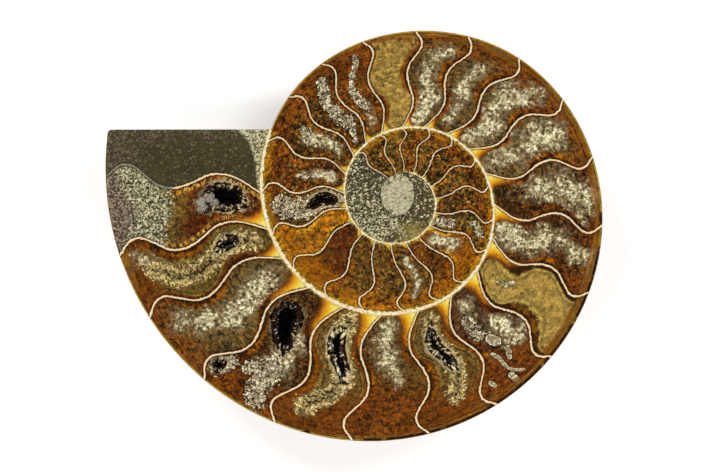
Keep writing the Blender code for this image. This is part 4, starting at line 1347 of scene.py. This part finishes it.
# the outside: worn shell over the chambers' stone, with frilled sutures
shellSkin = {
    "worn": 0.56,         # how much of the shell is worn off
    "sutureHalf": 0.24,   # in mm
    "lobes": 0.26,        # how far a suture's big folds reach, in chambers
    "frills": {"broad": 2.0, "medium": 1.1, "fine": 0.5},    # and its smaller ones, in mm
    "growthLines": 9.0,   # to a chamber
    "relief": 0.00012,
}
shellStops = (
    (0.15, (0.085, 0.034, 0.010)), (0.4, (0.210, 0.105, 0.036)),
    (0.6, (0.390, 0.240, 0.105)), (0.95, (0.680, 0.520, 0.300)),
)


def shellFlank():
    # stone with sutures, the shell that is left on it, dirt in the umbilicus, and the rim
    finish = Finish("shellFlank")
    grains = Grains(finish)
    phase, spacing, fromSeam = finish.parts(finish.field("even", "Vector"))
    share = finish.field("evenShare")
    isBody = grains.shaken(phase, medium=0.1) < 1.0

    # worn shell: cream and brown, in fine growth lines that follow the mouth's edge
    growth = finish.noise(1.0, 3.0, 0.6, finish.joined(phase * shellSkin["growthLines"], share * 3.0, 2.0))
    value = growth * 0.4 + grains.medium * 0.15 + grains.broad * 0.25 + grains.patches * 0.2
    shell = finish.ramp(value, shellStops)
    stained = finish.level("russet", 0.7 + growth * 1.3)
    shell = finish.mix(grains.patches.fromTo(0.5, 0.95) * 0.6, shell, stained)

    # the stone under it: amber and brown calcite in each chamber, dark sediment in the open chamber
    chamber = {"W": phase.maths("FLOOR")}
    chamber = finish.node("ShaderNodeTexWhiteNoise", {"noise_dimensions": "1D"}, chamber, "Value")
    rock = finish.mix(grains.blended(broad=0.5, specks=0.3) + chamber * 0.4 - 0.1, "maroon", "amber")
    pale = grains.blended(facetTone=0.4, medium=0.3) + chamber * 0.5
    rock = finish.mix(pale.fromTo(0.6, 0.9) * 0.6, rock, "khaki")
    rock = finish.mix(grains.facetSpread.fromTo(0.5, 0.9) * 0.5, rock, "brownOlive")
    mud = finish.mix(grains.blended(specks=0.6, flakeTone=0.4).fromTo(0.3, 1.0), "darkOlive", "khaki")
    rock = finish.mix(isBody, rock, mud)
    rock = finish.level(rock, 0.5 + grains.grain * 0.4 + grains.specks * 0.6)

    # sutures: big lobes along the whorl's height, with frills on them
    turn = share * math.tau
    fold = (turn * 2.5).maths("SINE") * shellSkin["lobes"] + (turn * 6.7 + 1.0).maths("SINE") * 0.1
    frills = [(getattr(grains, name) - 0.5) * reach for name, reach in shellSkin["frills"].items()]
    folded = phase + fold + sum(frills[1:], frills[0]) / spacing.most(2.0) * spacing.fromTo(1.0, 5.0)
    fromSuture = abs(folded - folded.maths("ROUND")) * spacing
    sutured = (folded > 0.6) * spacing.fromTo(1.0, 2.5)
    suture = fromSuture.fromTo(shellSkin["sutureHalf"] * 2.2, shellSkin["sutureHalf"]) * sutured
    besideSuture = fromSuture.fromTo(0.9, 0.35) * sutured
    rock = finish.mix(besideSuture * 0.6, rock, finish.level("needle", 0.5 + grains.fine * 0.6))
    rock = finish.mix(suture * 0.95, rock, "outline")

    # the shell is left in patches, most of it near the seam and on the open chamber
    cover = grains.blended(patches=0.7, broad=0.22, medium=0.08)
    cover = cover + share.fromTo(0.5, 0.0) * 0.16 + isBody * 0.12
    left = (cover - shellSkin["worn"]).fromTo(-0.015, 0.02)
    colour = finish.mix(left, rock, shell)
    chipped = (cover - shellSkin["worn"]).fromTo(-0.05, -0.015) * (1 - left)
    colour = finish.mix(chipped * 0.75, colour, "umber")
    dirt = fromSeam.fromTo(2.2, 0.2) * (0.2 + grains.medium * 0.6 + grains.broad * 0.3)
    colour = finish.mix(dirt, colour, finish.level("greyOlive", 0.3 + grains.specks * 1.1))

    # the rim beside the cut face shows the shell's own edge
    rim = grains.shaken(finish.z - coil["thickness"] + coil["rim"] * 0.6, fine=0.4).fromTo(-0.15, 0.1)
    rimTone = finish.mix(grains.blended(medium=0.7, fine=0.3), "umber", "amber")
    colour = finish.mix(rim * 0.9, colour, rimTone)
    height = left * 0.6 + growth * 0.3 + grains.fine * 0.15 - suture * 0.25 + grains.specks * 0.15
    roughness = 0.26 + grains.fine * 0.1 + (1 - left) * 0.06 + dirt * 0.35
    finish.connect(colour, roughness, height, shellSkin["relief"])
    return finish.material


# the sawn end
sawnEnd = {
    "shellEdge": 0.75,    # how high the shell's edge shows along the bottom, in mm
    "lineWidth": 0.2,     # and the dark line above it
    "roughness": 0.42,
    "relief": 0.00006,
}


def sawnMatrix():
    # dark sediment cut by the saw, with the shell's edge along its bottom
    finish = Finish("sawnMatrix")
    grains = Grains(finish)
    value = grains.blended(flakeTone=0.35, specks=0.4, fine=0.25)
    colour = finish.mix(value.fromTo(0.4, 1.0) * 0.4, "darkOlive", "matrix")
    brown = finish.level("brownOlive", 0.6 + value * 0.6)
    colour = finish.mix(grains.broad.fromTo(0.4, 0.8) * 0.6, colour, brown)
    colour = finish.level(colour, 0.75 + value * 0.6)
    layered = finish.joined(finish.x * 0.12, 0.0, finish.z * 5.0 + finish.x * 0.6)
    lines = finish.noise(1.0, 2.0, 0.5, layered)
    shellEdge = grains.shaken(finish.field("edge"), medium=0.3)
    shellTone = finish.level(finish.mix(grains.fine, "rust", "cream"), 0.5 + grains.grain * 0.5)
    top = sawnEnd["shellEdge"]
    colour = finish.mix(shellEdge.fromTo(top + sawnEnd["lineWidth"], top), colour, "outline")
    colour = finish.mix(shellEdge.fromTo(top, top - 0.15), colour, shellTone)
    roughness = sawnEnd["roughness"] + lines * 0.12 + grains.fine * 0.08
    finish.connect(colour, roughness, lines * 0.5 + value * 0.5, sawnEnd["relief"])
    return finish.material


def calciteCrystals():
    # crystals and linings, painted dark down in a hollow as painted shade and pale at its mouth, and the
    # grey lumps by a tone below 0
    finish = Finish("calciteCrystals")
    below = coil["thickness"] - finish.z
    tone = finish.field("tone")
    pale = finish.field("pale")
    grain = finish.noise(4.0, 3.0)
    # painted shade: the pale tone fades out with the depth below the cut face
    reach = (below + (grain - 0.5) * 0.8) / (0.5 + pale)
    light = (pale * reach.fromTo(1.6, 0.2) * (tone > 0.36) * (0.25 + tone * 0.75)).least(1.0)
    # the near-black to umber base under it is painted shade in the hollow
    colour = finish.mix(tone, "outline", "umber")
    colour = finish.mix(light, colour, finish.mix(tone, "needle", "buff"))
    grey = finish.mix(grain.fromTo(0.3, 0.7), "lumpShade", "lumpGrey")
    colour = finish.mix(tone < -0.5, colour, grey)
    finish.shader.inputs["Roughness"].default_value = crust["roughness"]
    finish.tree.links.new(colour.socket, finish.shader.inputs["Base Color"])
    return finish.material


fossilHalf = buildStone([polishedFace(), shellFlank(), sawnMatrix()])
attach(fossilHalf, "root")
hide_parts("fossil_half")
print("stone built")

crystalFinish = calciteCrystals()
chance = np.random.default_rng(crust["seed"])
for name, hollow in hollows.items():
    piece = buildCrust(name, hollow, chance, crystalFinish)
    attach(piece, "root")
    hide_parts(name)
print("crusts built")

# light and view
studio = {
    "cameraHeight": 0.9,
    "objectShare": 0.87,    # how much of the view's height the object takes
    "viewShape": 708 / 472,
    "lights": ((35, 2.9), (125, 2.9), (215, 2.5), (305, 2.5)),    # direction and power
    "lightPlace": (5.5, 4.5),    # away from the object and above it, in its lengths
    "lightSize": 3.5,
    "air": 0.05,
    "paperSide": 40,        # from the middle, in the object's lengths
    "paperGap": 0.0002,     # under the object, in metres
    "paperTone": (0.93, 0.93, 0.925, 1.0),
    "paperRoughness": 0.9,
    "paperGlow": 0.3,
}


def makeFloor():
    # a square of white paper just under the object, which glows a little
    low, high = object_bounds()
    side = studio["paperSide"] * (high[0] - low[0])
    level = low[2] - studio["paperGap"]
    mesh = bpy.data.meshes.new("studioFloor")
    corners = ((-1, -1), (1, -1), (1, 1), (-1, 1))
    mesh.from_pydata([(x * side, y * side, level) for x, y in corners], [], [(0, 1, 2, 3)])
    paper = bpy.data.materials.new("whitePaper")
    paper.use_nodes = True
    sockets = paper.node_tree.nodes["Principled BSDF"].inputs
    sockets["Base Color"].default_value = studio["paperTone"]
    sockets["Roughness"].default_value = studio["paperRoughness"]
    sockets["Emission Color"].default_value = (1.0, 1.0, 1.0, 1.0)
    sockets["Emission Strength"].default_value = studio["paperGlow"]
    mesh.materials.append(paper)
    floor = placed("studioFloor", mesh)
    floor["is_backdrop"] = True


def addLight(name, place, target, size, power):
    # a round soft light at a place, turned to its target
    lamp = bpy.data.lights.new(name, "AREA")
    lamp.shape = "DISK"
    lamp.size = size
    lamp.energy = power
    made = placed(name, lamp)
    made.location = place
    made.rotation_euler = (Vector(target) - Vector(place)).to_track_quat("-Z", "Y").to_euler()


def makeStudio():
    # four round soft lights about the object, and a little light from all sides
    low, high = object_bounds()
    reach = high[0] - low[0]
    away, above = studio["lightPlace"]
    for number, (azimuth, power) in enumerate(studio["lights"]):
        side = math.radians(azimuth)
        place = (away * reach * math.cos(side), away * reach * math.sin(side), above * reach)
        addLight(f"softbox{number}", place, (low + high) / 2, studio["lightSize"] * reach, power)
    world = bpy.data.worlds.new("studioAir")
    world.use_nodes = True
    world.node_tree.nodes["Background"].inputs["Color"].default_value = (1.0, 1.0, 1.0, 1.0)
    world.node_tree.nodes["Background"].inputs["Strength"].default_value = studio["air"]
    bpy.context.scene.world = world


def makeCamera():
    # straight down on the object, with a lens that shows its height as the wanted share of the view
    low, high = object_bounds()
    lens = bpy.data.cameras.new("studioCamera")
    camera = placed("studioCamera", lens)
    height = studio["cameraHeight"]
    camera.location = ((low[0] + high[0]) / 2, (low[1] + high[1]) / 2, height)
    viewWidth = (high[1] - low[1]) / studio["objectShare"] * studio["viewShape"]
    lens.lens = lens.sensor_width * (height - high[2]) / viewWidth
    lens.clip_start = 0.01
    bpy.context.scene.camera = camera


makeFloor()
makeStudio()
makeCamera()
bpy.context.scene.view_settings.view_transform = "Standard"
print("studio set")
